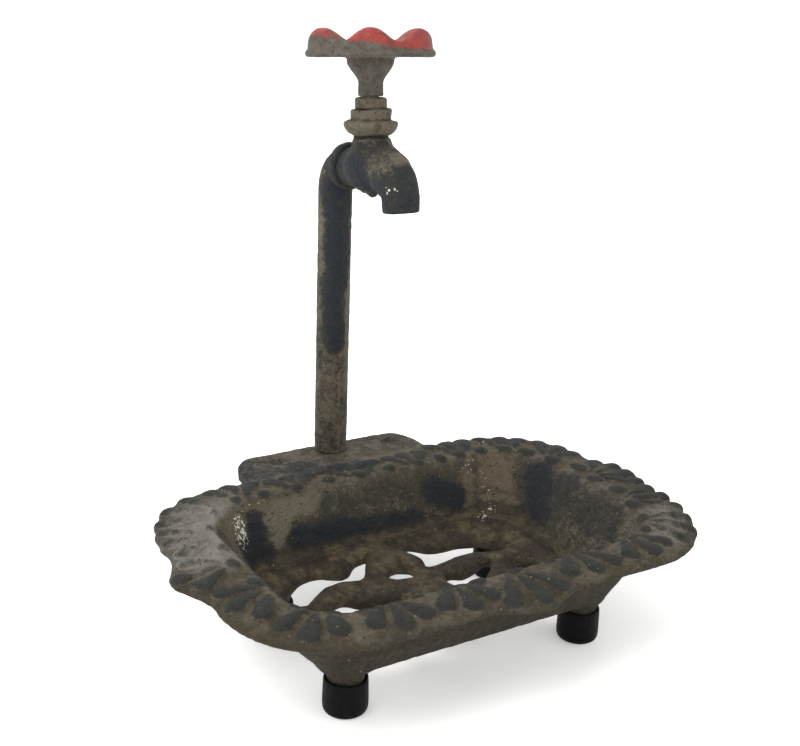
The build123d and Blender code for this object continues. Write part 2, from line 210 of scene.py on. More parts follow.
def smooth_min(a, b, k):
    """The union of two fields, with a fillet about k wide."""
    h = np.maximum(k - np.abs(a - b), 0) / k
    return np.minimum(a, b) - h * h * k / 4


def smooth_max(a, b, k):
    """The intersection of two fields, with a rounding about k wide."""
    return -smooth_min(-a, -b, k)


def step_between(low, high, value):
    """0 below low, 1 above high, smooth between."""
    t = np.clip((value - low) / (high - low), 0, 1)
    return t * t * (3 - 2 * t)


def round_rect(x, y, half_x, half_y, corner):
    """Distance to a rounded rectangle, negative inside."""
    qx = np.abs(x) - (half_x - corner)
    qy = np.abs(y) - (half_y - corner)
    outside = np.sqrt(np.maximum(qx, 0) ** 2 + np.maximum(qy, 0) ** 2)
    return outside + np.minimum(np.maximum(qx, qy), 0) - corner


def capsule(x, y, z, start, end, r_start, r_end=None):
    """Distance to a straight bar with round ends, whose radius may change along it."""
    r_end = r_start if r_end is None else r_end
    start = np.asarray(start, float)
    run = np.asarray(end, float) - start
    t = ((x - start[0]) * run[0] + (y - start[1]) * run[1] + (z - start[2]) * run[2]) / (run @ run)
    t = np.clip(t, 0, 1)
    dx = x - start[0] - t * run[0]
    dy = y - start[1] - t * run[1]
    dz = z - start[2] - t * run[2]
    return np.sqrt(dx * dx + dy * dy + dz * dz) - (r_start + (r_end - r_start) * t)


def polygon_distance(x, y, points):
    """Distance to a closed polygon, negative inside."""
    points = np.asarray(points, float)
    best = np.full(np.broadcast(x, y).shape, np.inf)
    inside = np.zeros(best.shape, bool)
    for (ax, ay), (bx, by) in zip(points, np.roll(points, -1, axis=0)):
        ex, ey = bx - ax, by - ay
        wx, wy = x - ax, y - ay
        t = np.clip((wx * ex + wy * ey) / (ex * ex + ey * ey), 0, 1)
        best = np.minimum(best, (wx - t * ex) ** 2 + (wy - t * ey) ** 2)
        crosses = ((ay <= y) != (by <= y)) & (wx < (y - ay) * ex / (ey if ey else 1e-9))
        inside ^= crosses
    return np.where(inside, -1, 1) * np.sqrt(best)


def smooth_loop(points, count):
    """A closed Catmull-Rom curve through the points, as a finer polygon."""
    points = np.asarray(points, float)
    before, after, next_after = np.roll(points, 1, 0), np.roll(points, -1, 0), np.roll(points, -2, 0)
    t = np.linspace(0, 1, count, endpoint=False)[None, :, None]
    p0, p1, p2, p3 = (p[:, None, :] for p in (before, points, after, next_after))
    curve = 0.5 * (2 * p1 + (p2 - p0) * t + (2 * p0 - 5 * p1 + 4 * p2 - p3) * t ** 2
                   + (3 * p1 - p0 - 3 * p2 + p3) * t ** 3)
    return curve.reshape(-1, 2)


# ---- from field to mesh

STEPS = {"tray": (0.5, 0.9), "bar": (0.36, 0.6), "tap": (0.3, 0.5), "turned": (0.26, 0.45)}
LATHE_SIDES = 96


def grid_step(kind):
    """The grid step for a kind of piece."""
    full, quick = STEPS[kind]
    return full


class Grid:
    """A regular grid of points over a box, with axes that broadcast together."""

    def __init__(self, low, high, step):
        self.low = np.asarray(low, float) - 2 * step
        self.step = step
        counts = np.ceil((np.asarray(high, float) + 2 * step - self.low) / step).astype(int) + 1
        axes = [np.arange(n) * step + start for n, start in zip(counts, self.low)]
        self.x = axes[0][:, None, None].astype(np.float32)
        self.y = axes[1][None, :, None].astype(np.float32)
        self.z = axes[2][None, None, :].astype(np.float32)


def surface_net(field, low, step):
    """Closed quads round the field's zero level: one vertex in each cell that it crosses."""
    inside = field < 0
    nx, ny, nz = (n - 1 for n in field.shape)
    count = np.zeros((nx, ny, nz), np.int8)
    for i, j, k in product((0, 1), repeat=3):
        count += inside[i:nx + i, j:ny + j, k:nz + k]
    mixed = (count > 0) & (count < 8)
    cells = np.argwhere(mixed)
    index = np.full(mixed.shape, -1, np.int32)
    index[mixed] = np.arange(len(cells))
    total = np.zeros((len(cells), 3))
    hits = np.zeros(len(cells))
    corners = np.array(list(product((0, 1), repeat=3)))
    values = [field[tuple((cells + c).T)] for c in corners]
    for a in range(8):
        for b in range(a + 1, 8):
            if np.abs(corners[a] - corners[b]).sum() != 1:
                continue
            crossed = (values[a] < 0) != (values[b] < 0)
            t = np.where(crossed, values[a] / np.where(crossed, values[a] - values[b], 1), 0)
            point = corners[a] + t[:, None] * (corners[b] - corners[a])
            total += np.where(crossed[:, None], point, 0)
            hits += crossed
    points = np.asarray(low) + (cells + total / hits[:, None]) * step
    quads = []
    for axis in range(3):
        first = [slice(None)] * 3
        second = [slice(None)] * 3
        first[axis] = slice(0, -1)
        second[axis] = slice(1, None)
        changed = inside[tuple(first)] != inside[tuple(second)]
        edges = np.argwhere(changed)
        u, v = (axis + 1) % 3, (axis + 2) % 3
        edges = edges[(edges[:, u] > 0) & (edges[:, v] > 0)]
        edges = edges[(edges[:, u] < mixed.shape[u]) & (edges[:, v] < mixed.shape[v])]
        ring = []
        for du, dv in ((-1, -1), (0, -1), (0, 0), (-1, 0)):
            cell = edges.copy()
            cell[:, u] += du
            cell[:, v] += dv
            ring.append(index[tuple(cell.T)])
        quad = np.stack(ring, 1)
        leaving = inside[tuple(edges.T)]
        quad[~leaving] = quad[~leaving][:, ::-1]
        quads.append(quad)
    return points, np.concatenate(quads)


def add_object(name, data):
    """An object in the scene, for a mesh, a light or a camera."""
    obj = bpy.data.objects.new(name, data)
    bpy.context.scene.collection.objects.link(obj)
    return obj


def new_mesh(name, points, faces):
    """A mesh object in metres, smooth shaded, from points in millimetres."""
    mesh = bpy.data.meshes.new(name)
    mesh.from_pydata((np.asarray(points) * MM).tolist(), [], [list(f) for f in faces])
    mesh.update()
    mesh.shade_smooth()
    return add_object(name, mesh)


def lathe(outline, centre=(0.0, 0.0), lift=lambda turn, height: 0.0):
    """Points and faces of a turned surface, from (radius, height) points; lift raises each point."""
    rows, points, faces = [], [], []
    for radius, height in outline:
        count = LATHE_SIDES if radius else 1
        rows.append(range(len(points), len(points) + count))
        for i in range(count):
            turn = 2 * np.pi * i / LATHE_SIDES
            place = (centre[0] + radius * np.cos(turn), centre[1] + radius * np.sin(turn))
            points.append((*place, height + lift(turn, height)))
    for upper, lower in zip(rows, rows[1:]):
        for i in range(LATHE_SIDES):
            j = (i + 1) % LATHE_SIDES
            if len(upper) == 1:
                faces.append((upper[0], lower[i], lower[j]))
            elif len(lower) == 1:
                faces.append((upper[j], upper[i], lower[0]))
            else:
                faces.append((upper[i], lower[i], lower[j], upper[j]))
    return points, faces


def mesh_points(obj):
    """An object's vertices, in millimetres."""
    co = np.zeros(len(obj.data.vertices) * 3, np.float32)
    obj.data.vertices.foreach_get("co", co)
    return co.reshape(-1, 3) / MM


def set_points(obj, points):
    """Moves an object's vertices; points are in millimetres."""
    obj.data.vertices.foreach_set("co", (np.asarray(points, np.float32) * MM).ravel())
    obj.data.update()


def vertex_normals(obj):
    """An object's vertex normals."""
    out = np.zeros(len(obj.data.vertices) * 3, np.float32)
    obj.data.vertex_normals.foreach_get("vector", out)
    return out.reshape(-1, 3)


def apply_modifiers(obj):
    """Replaces the object's mesh with what its modifiers make of it."""
    evaluated = obj.evaluated_get(bpy.context.evaluated_depsgraph_get())
    mesh = bpy.data.meshes.new_from_object(evaluated)
    obj.modifiers.clear()
    old = obj.data
    obj.data = mesh
    bpy.data.meshes.remove(old)
    mesh.shade_smooth()
    return obj


def decimate(obj, triangles):
    """Collapses a mesh to about that many triangles."""
    now = sum(len(p.vertices) - 2 for p in obj.data.polygons)
    if now > triangles:
        modifier = obj.modifiers.new("fewer", "DECIMATE")
        modifier.ratio = triangles / now
        apply_modifiers(obj)
    return obj


def roughen(obj, amounts, seed=0):
    """Pushes the surface in and out with noise; amounts is a list of (feature size, depth) in mm."""
    points = mesh_points(obj)
    push = 0
    for i, (scale, depth) in enumerate(amounts):
        push = push + depth * noise(points[:, 0], points[:, 1], points[:, 2], scale, seed + i)
    set_points(obj, points + vertex_normals(obj) * push[:, None])
    return obj


def add_attribute(obj, name, values):
    """A float on each vertex, that materials can read."""
    attribute = obj.data.attributes.new(name, "FLOAT", "POINT")
    attribute.data.foreach_set("value", np.asarray(values, np.float32))


def from_field(name, grid, field, place=np.asarray):
    """A mesh object round a field's zero level; place takes its points to the object's frame."""
    points, quads = surface_net(field, grid.low, grid.step)
    return new_mesh(name, place(points), quads)


# ---- tray


class Map:
    """A height or mask over the plan, sampled on a fine grid about the dish's centre."""

    STEP = 0.25
    HALF_X = 90.0
    HALF_Y = 78.0

    def __init__(self, values):
        self.values = values

    @classmethod
    def plan(cls):
        xs = np.arange(-cls.HALF_X, cls.HALF_X + cls.STEP, cls.STEP, dtype=np.float32)
        ys = np.arange(-cls.HALF_Y, cls.HALF_Y + cls.STEP, cls.STEP, dtype=np.float32)
        return xs[:, None], ys[None, :]

    def at(self, x, y):
        """The map's value at points given from the dish's centre."""
        u = np.clip((x + self.HALF_X) / self.STEP, 0, self.values.shape[0] - 1.001)
        v = np.clip((y + self.HALF_Y) / self.STEP, 0, self.values.shape[1] - 1.001)
        i, j = u.astype(int), v.astype(int)
        a, b = u - i, v - j
        m = self.values
        return (m[i, j] * (1 - a) * (1 - b) + m[i + 1, j] * a * (1 - b)
                + m[i, j + 1] * (1 - a) * b + m[i + 1, j + 1] * a * b)


def petal(x, y, heart, tip):
    """A teardrop dome, 0 outside and 1 on its crest, that widens from near the heart to the tip."""
    heart, tip = np.asarray(heart, float), np.asarray(tip, float)
    root = heart + (tip - heart) * PETAL_START
    run = tip - root
    t = np.clip(((x - root[0]) * run[0] + (y - root[1]) * run[1]) / (run @ run), 0, 1)
    away = np.hypot(x - root[0] - t * run[0], y - root[1] - t * run[1])
    radius = PETAL_ROOT_R + (PETAL_TIP_R - PETAL_ROOT_R) * t ** 0.75
    dome = np.sqrt(np.clip(1 - (away / radius) ** 2, 0, 1))
    return dome * (0.62 + 0.38 * t)


def relief_map():
    """Height of petals and beads above the rim's ground, 0 to 1."""
    x, y = Map.plan()
    total = np.zeros(np.broadcast(x, y).shape, np.float32)
    wobble_x = x + 0.5 * noise(x, y, 0, 5.0, 3)
    wobble_y = y + 0.5 * noise(x, y, 9, 5.0, 4)
    for heart, tips in FANS:
        for tip in tips:
            total = np.maximum(total, petal(wobble_x, wobble_y, heart, tip))
    for bead_x, bead_y, radius in BEADS:
        outward = np.arctan2(bead_y, bead_x)
        dx, dy = wobble_x - bead_x, wobble_y - bead_y
        along = dx * np.cos(outward) + dy * np.sin(outward)
        across = -dx * np.sin(outward) + dy * np.cos(outward)
        radius = radius * 1.18
        dome = np.sqrt(np.clip(1 - (across / radius) ** 2 - (along / (radius * 0.85)) ** 2, 0, 1))
        total = np.maximum(total, dome * BEAD_HIGH / PETAL_HIGH)
    return Map(total)


def outline_map():
    """Distance to the rim's outline, scalloped at the petals and pointed at the middle of three sides."""
    x, y = Map.plan()
    edge = round_rect(x, y, *RIM)
    for heart, tips in FANS:
        for tip in tips:
            run = np.asarray(tip) - heart
            end = np.asarray(tip) + run / np.hypot(*run) * -SCALLOP_IN
            edge = smooth_min(edge, np.hypot(x - end[0], y - end[1]) - SCALLOP_R, 2.4)
    for side in (-1, 1):
        shape = [(side * (RIM[0] - 4), -13), (side * RIM[0], -12.5), (side * (SIDE_TIP - 0.4), -2.5),
                 (side * (SIDE_TIP - 0.4), 3.5), (side * RIM[0], 13), (side * (RIM[0] - 4), 13)]
        edge = smooth_min(edge, polygon_distance(x, y, shape), 2.5)
    shape = [(-13, 4 - RIM[1]), (-12.5, -RIM[1]), (-3, 0.4 - FRONT_TIP), (3.5, 0.4 - FRONT_TIP),
             (13, -RIM[1]), (13, 4 - RIM[1])]
    edge = smooth_min(edge, polygon_distance(x, y, shape), 2.5)
    return Map(edge.astype(np.float32))


def openings_map():
    """Distance to the openings in the floor, negative inside them."""
    x, y = Map.plan()
    edge = np.full(np.broadcast(x, y).shape, 99.0)
    for points in OPENINGS:
        edge = np.minimum(edge, polygon_distance(x, y, smooth_loop(points, 6)))
    return Map(edge.astype(np.float32))


def floor_map(openings):
    """Height of the floor's cast relief: rounded bands, a ridged middle leaf and a groove along the wall."""
    x, y = Map.plan()
    near = openings.values
    height = -1.5 * np.exp(-np.clip(near, 0, None) / 1.6)
    leaf_x, leaf_y = x - MIDDLE_LEAF[0], y - MIDDLE_LEAF[1]
    leaf = np.hypot(leaf_x / 8.0, leaf_y / 8.5)
    spine = 0.9 * np.exp(-np.abs(leaf_x) / 1.1) * step_between(1.05, 0.6, leaf)
    height = height + (1.1 * np.clip(1 - leaf, 0, 1) + spine)
    wall = -round_rect(x, y, *FLOOR)
    wave = 1.4 * np.sin(x / 6.5) + 0.8 * np.sin(x / 3.1 + 1)
    groove = np.exp(-((wall - 3.4 - wave) / 0.7) ** 2) * step_between(0.5, 2.5, near)
    step_up = step_between(3.6 + 0.8, 3.4 - 0.8, wall - wave) * step_between(0.5, 2.0, near)
    height = height - 0.9 * groove + 0.8 * step_up
    height = height + 0.35 * noise(x, y, 2, 7.0, 8)
    return Map(height.astype(np.float32))


def bowl_size(z, extra=0.0):
    """Half sizes and corner radius of the bowl's section at height z."""
    t = np.clip((z - FLOOR_TOP) / (RIM_GROUND + 1.2 - FLOOR_TOP), -0.25, 1.15)
    t = t - 0.10 * np.sin(np.pi * np.clip(t, 0, 1))
    return tuple(f + (m - f) * t + extra for f, m in zip(FLOOR, MOUTH))


def tray_field(grid, relief, outline, openings, floor):
    """The whole casting's field."""
    x, y, z = grid.x, grid.y - DISH_Y, grid.z
    flat_x, flat_y = x[:, :, 0] + 0 * y[:, :, 0], y[:, :, 0] + 0 * x[:, :, 0]
    mouth = round_rect(flat_x, flat_y, *MOUTH)
    ground = RIM_GROUND + 0.4 * np.exp(-((mouth - 7) / 5) ** 2) - 0.7 * step_between(9.5, 15.5, mouth)
    ground = ground + 0.25 * noise(flat_x, flat_y, 5, 9.0, 21)
    edge = outline.at(flat_x, flat_y)
    softer = step_between(-25, 15, flat_y) * step_between(-9, -1, edge)
    top = ground + PETAL_HIGH * (relief.at(flat_x, flat_y) * (1 - 0.55 * softer) + 0.35 * softer)
    low = RIM_LOW + 0.3 * step_between(4, 15, mouth)
    rim = smooth_max(z - top[:, :, None], low[:, :, None] - z, 1.2)
    rim = smooth_max(rim, edge[:, :, None], RIM_ROUND)
    outer = round_rect(x, y, *bowl_size(z, WALL_OUT))
    skirting = step_between(-7, -1, round_rect(flat_x, flat_y, *FLOOR))
    underside = FLOOR_LOW + 0.45 - 0.9 * skirting
    bowl = smooth_max(outer * SLOPE, underside[:, :, None] - z, 1.2)
    bowl = np.maximum(bowl, z - RIM_GROUND)
    solid = smooth_min(bowl, rim, BOWL_FILLET)
    for side_x, side_y in CORNERS:
        foot = (side_x * (LEG_X + 0.5), side_y * (LEG_Y + 0.3), FLOOR_LOW + 1.5)
        head = (side_x * (LEG_X + CONE_OUT[0]), side_y * (LEG_Y + CONE_OUT[1]), CONE_TOP)
        solid = smooth_min(solid, capsule(x, y, z, foot, head, *CONE_R), BOWL_FILLET)
    inner = round_rect(x, y, *bowl_size(z)) * SLOPE
    floor_z = FLOOR_TOP + floor.at(flat_x, flat_y)
    cavity = smooth_max(inner, floor_z[:, :, None] - z, 2.4)
    cavity = np.where(z > FLOOR_LOW - 1, cavity, 1e3)
    solid = smooth_max(solid, -cavity, 0.9)
    holes = openings.at(flat_x, flat_y)[:, :, None] + OPENING_ROUND
    reach = np.where(z < FLOOR_TOP + 6, -holes, -99.0)
    solid = smooth_max(solid, reach, 1.6)
    solid = smooth_min(solid, ledge_field(flat_x, flat_y, z), 1.4)
    for side_x, side_y in CORNERS:
        radius = LEG_R - 0.05 + LEG_FLARE * step_between(12.2, 19, z)
        leg = np.hypot(x - side_x * LEG_X, y - side_y * LEG_Y) - radius
        leg = np.maximum(leg, np.maximum(3.05 - z, z - FLOOR_LOW - 1.5))
        solid = smooth_min(solid, leg, 2.4)
    return solid


def ledge_field(x, y, z):
    """The plate behind the bowl, with cut corners, softened edges and two dimples; x and y are flat."""
    left, right = LEDGE_X
    front, back = LEDGE_Y
    shape = [(left, front), (left, back - LEDGE_CUT), (left + 1.6, back - 4.5), (left + 6, back),
             (right - 6, back), (right - 2.5, back - 3.0), (right, back - LEDGE_CUT), (right, front)]
    plan = polygon_distance(x, y, smooth_corners(shape))
    top = LEDGE_Z[1] + 0.15 * noise(x, y, 1, 6.0, 31)
    for dimple_x, dimple_y in DIMPLES:
        away = np.hypot(x - dimple_x, y - dimple_y)
        top = top - 1.2 * step_between(2.8, 1.6, away)
    plate = smooth_max(z - top[:, :, None], LEDGE_Z[0] - z, 0.8)
    return smooth_max(plate, plan[:, :, None].astype(np.float32), 1.1)


def smooth_corners(points):
    """The outline with each corner cut twice, which rounds it."""
    points = np.asarray(points, float)
    for _ in range(2):
        after = np.roll(points, -1, axis=0)
        cut = np.stack([points * 0.85 + after * 0.15, points * 0.15 + after * 0.85], 1)
        points = cut.reshape(-1, 2)
    return points


def make_tray():
    """The cast tray: rim, bowl, floor, ledge and legs, as one mesh."""
    relief, outline, openings = relief_map(), outline_map(), openings_map()
    floor = floor_map(openings)
    grid = Grid(TRAY_LOW, (TRAY_HIGH[0], TRAY_HIGH[1], RIM_GROUND + 3), grid_step("tray"))
    obj = from_field("cast_tray", grid, tray_field(grid, relief, outline, openings, floor))
    roughen(obj, ((2.6, 0.10), (1.3, 0.08)), 40)
    decimate(obj, TRAY_TRIANGLES)
    stain_tray(obj, relief)
    return obj


# ---- standpipe

ELBOW_R = 8.4
INLET_DROP = 1.0
COLLAR = (11.8, 14.6)
COLLAR_R = 7.5


def tap_frame(points):
    """Points from the tap's own frame to the object's frame."""
    cos, sin = np.cos(TAP_LEAN), np.sin(TAP_LEAN)
    x, y, z = np.asarray(points, float).T
    return np.stack([x, y * cos + z * sin, z * cos - y * sin], 1) + TAP_ORIGIN


def arc(centre, radius, start, end, count=14):
    """Points along a circle's arc, between two angles in degrees."""
    angles = np.radians(np.linspace(start, end, count))
    return [(centre[0] + radius * np.cos(a), centre[1] + radius * np.sin(a)) for a in angles]


def path_distance(u, v, points):
    """Distance to an open line of points in a plane."""
    best = np.inf
    for (ax, ay), (bx, by) in zip(points, points[1:]):
        ex, ey = bx - ax, by - ay
        t = np.clip(((u - ax) * ex + (v - ay) * ey) / (ex * ex + ey * ey), 0, 1)
        best = np.minimum(best, (u - ax - t * ex) ** 2 + (v - ay - t * ey) ** 2)
    return np.sqrt(best)


def make_standpipe():
    """The upright bar with its elbow, a little uneven along its length."""
    radius = (PIPE_HIGH[0] - PIPE_LOW[0]) / 2
    pipe_y = PIPE_HIGH[1] - radius
    end = tap_frame([(0, COLLAR[1], -INLET_DROP)])[0][1:]
    back = np.array([np.cos(TAP_LEAN), -np.sin(TAP_LEAN)])
    corner = end + back * (pipe_y - end[0]) / back[0]
    reach = ELBOW_R * np.tan((np.pi / 2 - TAP_LEAN) / 2)
    centre = (pipe_y - ELBOW_R, corner[1] - reach)
    bend = arc(centre, ELBOW_R, 0, 90 - np.degrees(TAP_LEAN))
    line = [(pipe_y, PIPE_LOW[2] - 5)] + bend + [tuple(end - back * 5)]
    grid = Grid(PIPE_LOW, PIPE_HIGH, grid_step("bar"))
    x, y, z = grid.x, grid.y, grid.z
    away = path_distance(y[0], z[0], line)[None]
    uneven = 0.10 * noise(0 * z, 0 * z + 3, z, 14.0, 5)
    pipe = np.sqrt(x * x + away * away) - radius + 0.08 + uneven
    seam = 0.22 * np.exp(-(x / 0.5) ** 2) * (z < centre[1])
    pipe = pipe - seam * np.ones_like(pipe)
    pipe = smooth_max(pipe, PIPE_LOW[2] + 0.02 - z, 0.9)
    outward = (y - end[0]) * back[0] + (z - end[1]) * back[1]
    pipe = smooth_max(pipe, 0.03 - outward, 0.6)
    hole = np.hypot(x, y - pipe_y) - 2.6
    pipe = np.maximum(pipe, -np.maximum(hole, z - PIPE_LOW[2] - 13))
    return roughen(from_field("cast_standpipe", grid, pipe), ((2.2, 0.07), (1.0, 0.07)), 50)


def make_collar():
    """The dark round collar between elbow and tap."""
    low, high = COLLAR[0] - 0.4, COLLAR[1] + 0.9
    grid = Grid((-COLLAR_R, low, -COLLAR_R - INLET_DROP), (COLLAR_R, high, COLLAR_R - INLET_DROP), 0.28)
    away = np.hypot(grid.x, grid.z + INLET_DROP)
    along = np.abs(grid.y - (low + high) / 2) - (high - low) / 2
    ring = smooth_max(away - COLLAR_R + 0.05, along + 0.03, 1.6)
    ring = np.maximum(ring, 3.3 - away)
    return roughen(from_field("cast_collar", grid, ring, tap_frame), ((1.6, 0.09), (0.8, 0.05)), 52)


# ---- tap

GLOBE_R = 8.1
NECK_R = 5.5
NECK_TOP = 8.6
SPOUT_R = 5.7
SPOUT_OUT = 17.4
SPOUT_LOW = -12.6
SPOUT_BEND = 9.0
SPOUT_TURN = 86.0
BONNET_OUTLINE = (
    (2.8, 3.7), (3.4, 3.7), (3.45, 9.35), (5.3, 9.35), (7.0, 10.3), (7.9, 11.5), (8.3, 12.6), (8.15, 13.3),
    (7.5, 13.55), (6.45, 13.75), (6.25, 14.2), (6.3, 16.7), (6.0, 17.15), (4.1, 17.15), (4.1, 14.2),
    (2.8, 14.2),
)
GLAND_OUTLINE = (
    (2.8, 16.4), (3.85, 16.4), (3.85, 17.22), (4.8, 17.22), (4.85, 20.0), (4.5, 20.55), (2.8, 20.55),
)
TURNED_OUT = 0.05  # how far outside its outline a turned piece's surface lies
TURNED_STEP = 0.1

# Bars with round ends: start, end, radius at each, width of the fillet that joins them to the body
SHOULDERS = (
    ((0, 0, 0.6), (0, 0, 6.8), GLOBE_R, 5.0, 1.5),
    ((0, -1.9, 5.1), (0, -11.4, -3.2), 5.0, 5.7, 3.0),
)
NUBS = (
    ((0, -0.4, -6), (0.2, -0.4, -8.0), 2.0, 1.7, 1.2),
    ((0, 4.2, -6), (0.3, 4.6, -7.4), 1.6, 1.4, 1.6),
)


def add_bars(field, grid, bars):
    """Joins bars to a field."""
    for start, end, r_start, r_end, fillet in bars:
        field = smooth_min(field, capsule(grid.x, grid.y, grid.z, start, end, r_start, r_end), fillet)
    return field


def make_tap_body():
    """Globe with an inlet boss, a neck whose shoulder runs into the bent spout, and a nub underneath."""
    grid = Grid((-8.2, -23.2, -12.6), (8.2, 12, 8.8), grid_step("tap"))
    x, y, z = grid.x, grid.y, grid.z
    body = np.sqrt(x * x + y * y + z * z) - GLOBE_R
    inlet = np.maximum(np.hypot(x, z + INLET_DROP) - 6.2, np.maximum(-y, y - COLLAR[0]))
    body = smooth_min(body, inlet, 2.0)
    neck = np.maximum(np.hypot(x, y) - NECK_R + 0 * z, np.maximum(-z, z - NECK_TOP - 1))
    body = smooth_min(body, neck, 1.5)
    body = add_bars(body, grid, SHOULDERS)
    turn = np.radians(SPOUT_TURN)
    centre = (SPOUT_BEND - SPOUT_OUT, 0.4 - SPOUT_BEND)
    bend = arc(centre, SPOUT_BEND, 90, 90 + SPOUT_TURN)
    down = np.array([-np.cos(turn), -np.sin(turn)])
    mouth = np.array(bend[-1]) + down * (bend[-1][1] - SPOUT_LOW) / np.sin(turn)
    line = [(0, 0.4)] + bend + [tuple(mouth + down * 5)]
    spout = np.sqrt(x * x + path_distance(y[0], z[0], line)[None] ** 2) - SPOUT_R
    body = smooth_min(body, spout, 3.0)
    body = add_bars(body, grid, NUBS)
    beyond = (y - mouth[0]) * down[0] + (z - mouth[1]) * down[1]
    body = smooth_max(body, beyond + 0 * x, 0.9)
    body = smooth_max(body, z - NECK_TOP, 0.8)
    body = smooth_max(body, y - COLLAR[0] + 0.02, 0.6)
    along = np.hypot(x, (y - mouth[0]) * down[1] - (z - mouth[1]) * down[0])
    recess = smooth_max(along - 3.8, -3.0 - beyond, 0.8)
    body = smooth_max(body, -recess, 0.7)
    body = np.maximum(body, -np.maximum(np.hypot(x, y) - 3.65 + 0 * z, 1.6 - z))
    return roughen(from_field("cast_tap_body", grid, body, tap_frame), ((2.4, 0.10), (1.1, 0.07)), 54)


def turned(name, outline, amounts, seed):
    """A turned piece about the tap's upright axis, from an outline of (radius, height) points."""
    outline = np.asarray(outline, float)
    low, high = outline.min(0), outline.max(0)
    grid = Grid((-high[0], -high[0], low[1]), (high[0], high[0], high[1]), grid_step("turned"))
    radius = np.hypot(grid.x, grid.y)
    steps = np.arange(0, high[0] * 1.5 + 1, TURNED_STEP)
    table = polygon_distance(steps[:, None], grid.z[0], smooth_corners(outline)) - TURNED_OUT
    at = np.clip(radius[:, :, 0] / TURNED_STEP, 0, len(steps) - 1.001)
    whole = at.astype(int)
    part = (at - whole)[:, :, None]
    field = table[whole] * (1 - part) + table[whole + 1] * part
    return roughen(from_field(name, grid, field, tap_frame), amounts, seed)


# ---- handwheel

STEM_LOW = 20.85
STEM_R = 3.8
HUB_R = 7.2
FLARE_LOW = 24.8
WHEEL_LOW = 32.4
WHEEL_R = 19.75
WHEEL_BAND = 2.2
WEB_TOP = 37.4
HUB_TOP = 37.55
WHEEL_TOP = 40.75
LOBES = 6
LOBE_AT = 16.2
LOBE_R = 6.0
SPINDLE_SQUARE = 3.4
SPINDLE_SHOULDER = 32.4
WORN_AWAY = (0.88, -0.48)  # the paint lasts longest towards this side


def make_handwheel():
    """Six-lobed wheel whose domes flow into each other, on a flared stem."""
    grid = Grid((-WHEEL_R, -WHEEL_R, STEM_LOW), (WHEEL_R, WHEEL_R, WHEEL_TOP), grid_step("bar"))
    x, y, z = grid.x, grid.y, grid.z
    away = np.hypot(x, y)
    disc = smooth_max(away - WHEEL_R + 0.9, z - WEB_TOP + 0.5, 2.2)
    disc = smooth_max(disc, WHEEL_LOW + 0.5 - z, 0.4)
    wheel = disc
    for i in range(LOBES):
        turn = 2 * np.pi * i / LOBES
        size = LOBE_R + 0.15 * np.sin(i * 2.4)
        place = (LOBE_AT * np.cos(turn), LOBE_AT * np.sin(turn), WHEEL_TOP - LOBE_R - 0.1 * (i % 2))
        dome = np.sqrt((x - place[0]) ** 2 + (y - place[1]) ** 2 + (z - place[2]) ** 2) - size
        wheel = smooth_min(wheel, dome, 3.2)
    wheel = smooth_max(wheel, away - WHEEL_R + 0.1, 2.4)
    wheel = smooth_max(wheel, WHEEL_LOW + WHEEL_BAND - z, 0.2)
    band = smooth_max(away - WHEEL_R + 0.1, np.abs(z - WHEEL_LOW - WHEEL_BAND / 2) - WHEEL_BAND / 2, 1.1)
    wheel = smooth_min(wheel, band, 0.5)
    flare = STEM_R + (HUB_R - STEM_R) * step_between(FLARE_LOW, WHEEL_LOW - 1.2, z)
    stem = np.maximum(away - flare, np.maximum(STEM_LOW - z, z - WHEEL_LOW - 1))
    wheel = smooth_min(wheel, stem, 0.9)
    hub = smooth_max(away - 5.4, np.maximum(z - HUB_TOP, WHEEL_LOW - z), 1.0)
    wheel = smooth_min(wheel, hub, 1.4)
    wheel = smooth_max(wheel, STEM_LOW + 0.03 - z, 0.35)
    bore = np.maximum(away - 2.7, z - SPINDLE_SHOULDER)
    half = SPINDLE_SQUARE / 2 + 0.12
    socket = np.maximum(np.maximum(np.abs(x), np.abs(y)) - half, SPINDLE_SHOULDER - 1 - z)
    wheel = np.maximum(wheel, -np.minimum(bore, socket))
    points, quads = surface_net(wheel, grid.low, grid.step)
    obj = roughen(new_mesh("lobed_handwheel", tap_frame(points), quads), ((3.0, 0.10), (1.2, 0.05)), 60)
    lift = (points[:, 2] - WHEEL_LOW - WHEEL_BAND) / (WHEEL_TOP - WHEEL_LOW - WHEEL_BAND)
    side = (points[:, 0] * WORN_AWAY[0] + points[:, 1] * WORN_AWAY[1]) / WHEEL_R
    out = np.hypot(points[:, 0], points[:, 1])
    painted = np.where(lift > 0.0, lift + 0.14 + 0.5 * side * step_between(6, 14, out), -1.0)
    painted = np.maximum(painted, 0.5 * step_between(0.2, 0.25, lift) * step_between(14, 10, out))
    add_attribute(obj, "painted", painted)
    return add_bend(obj)


# ---- boots


BOOT_OUTLINE = (
    (0.0, 3.0), (5.42, 3.0), (5.45, 3.2), (5.48, 10.3), (5.62, 10.75), (5.95, 10.95), (6.25, 10.8),
    (6.42, 10.3), (6.48, 8.5), (6.56, 5.5), (6.62, 2.6), (6.55, 1.3), (6.15, 0.5), (5.4, 0.08),
    (4.4, 0.0), (0.0, 0.0),
)


def make_boot(node):
    """A rubber cup: turned, with a rolled, slightly wavy lip and a soft foot edge."""
    low, high = node_box(node)
    centre = (low + high) / 2

    def wave(turn, height):
        return 0.12 * np.sin(3 * turn + centre[0]) * step_between(9, 11, height)

    obj = new_mesh("moulded_" + node, *lathe(BOOT_OUTLINE, centre, wave))
    modifier = obj.modifiers.new("smooth", "SUBSURF")
    modifier.levels = 1
    return apply_modifiers(obj)


# ---- stains in the finish

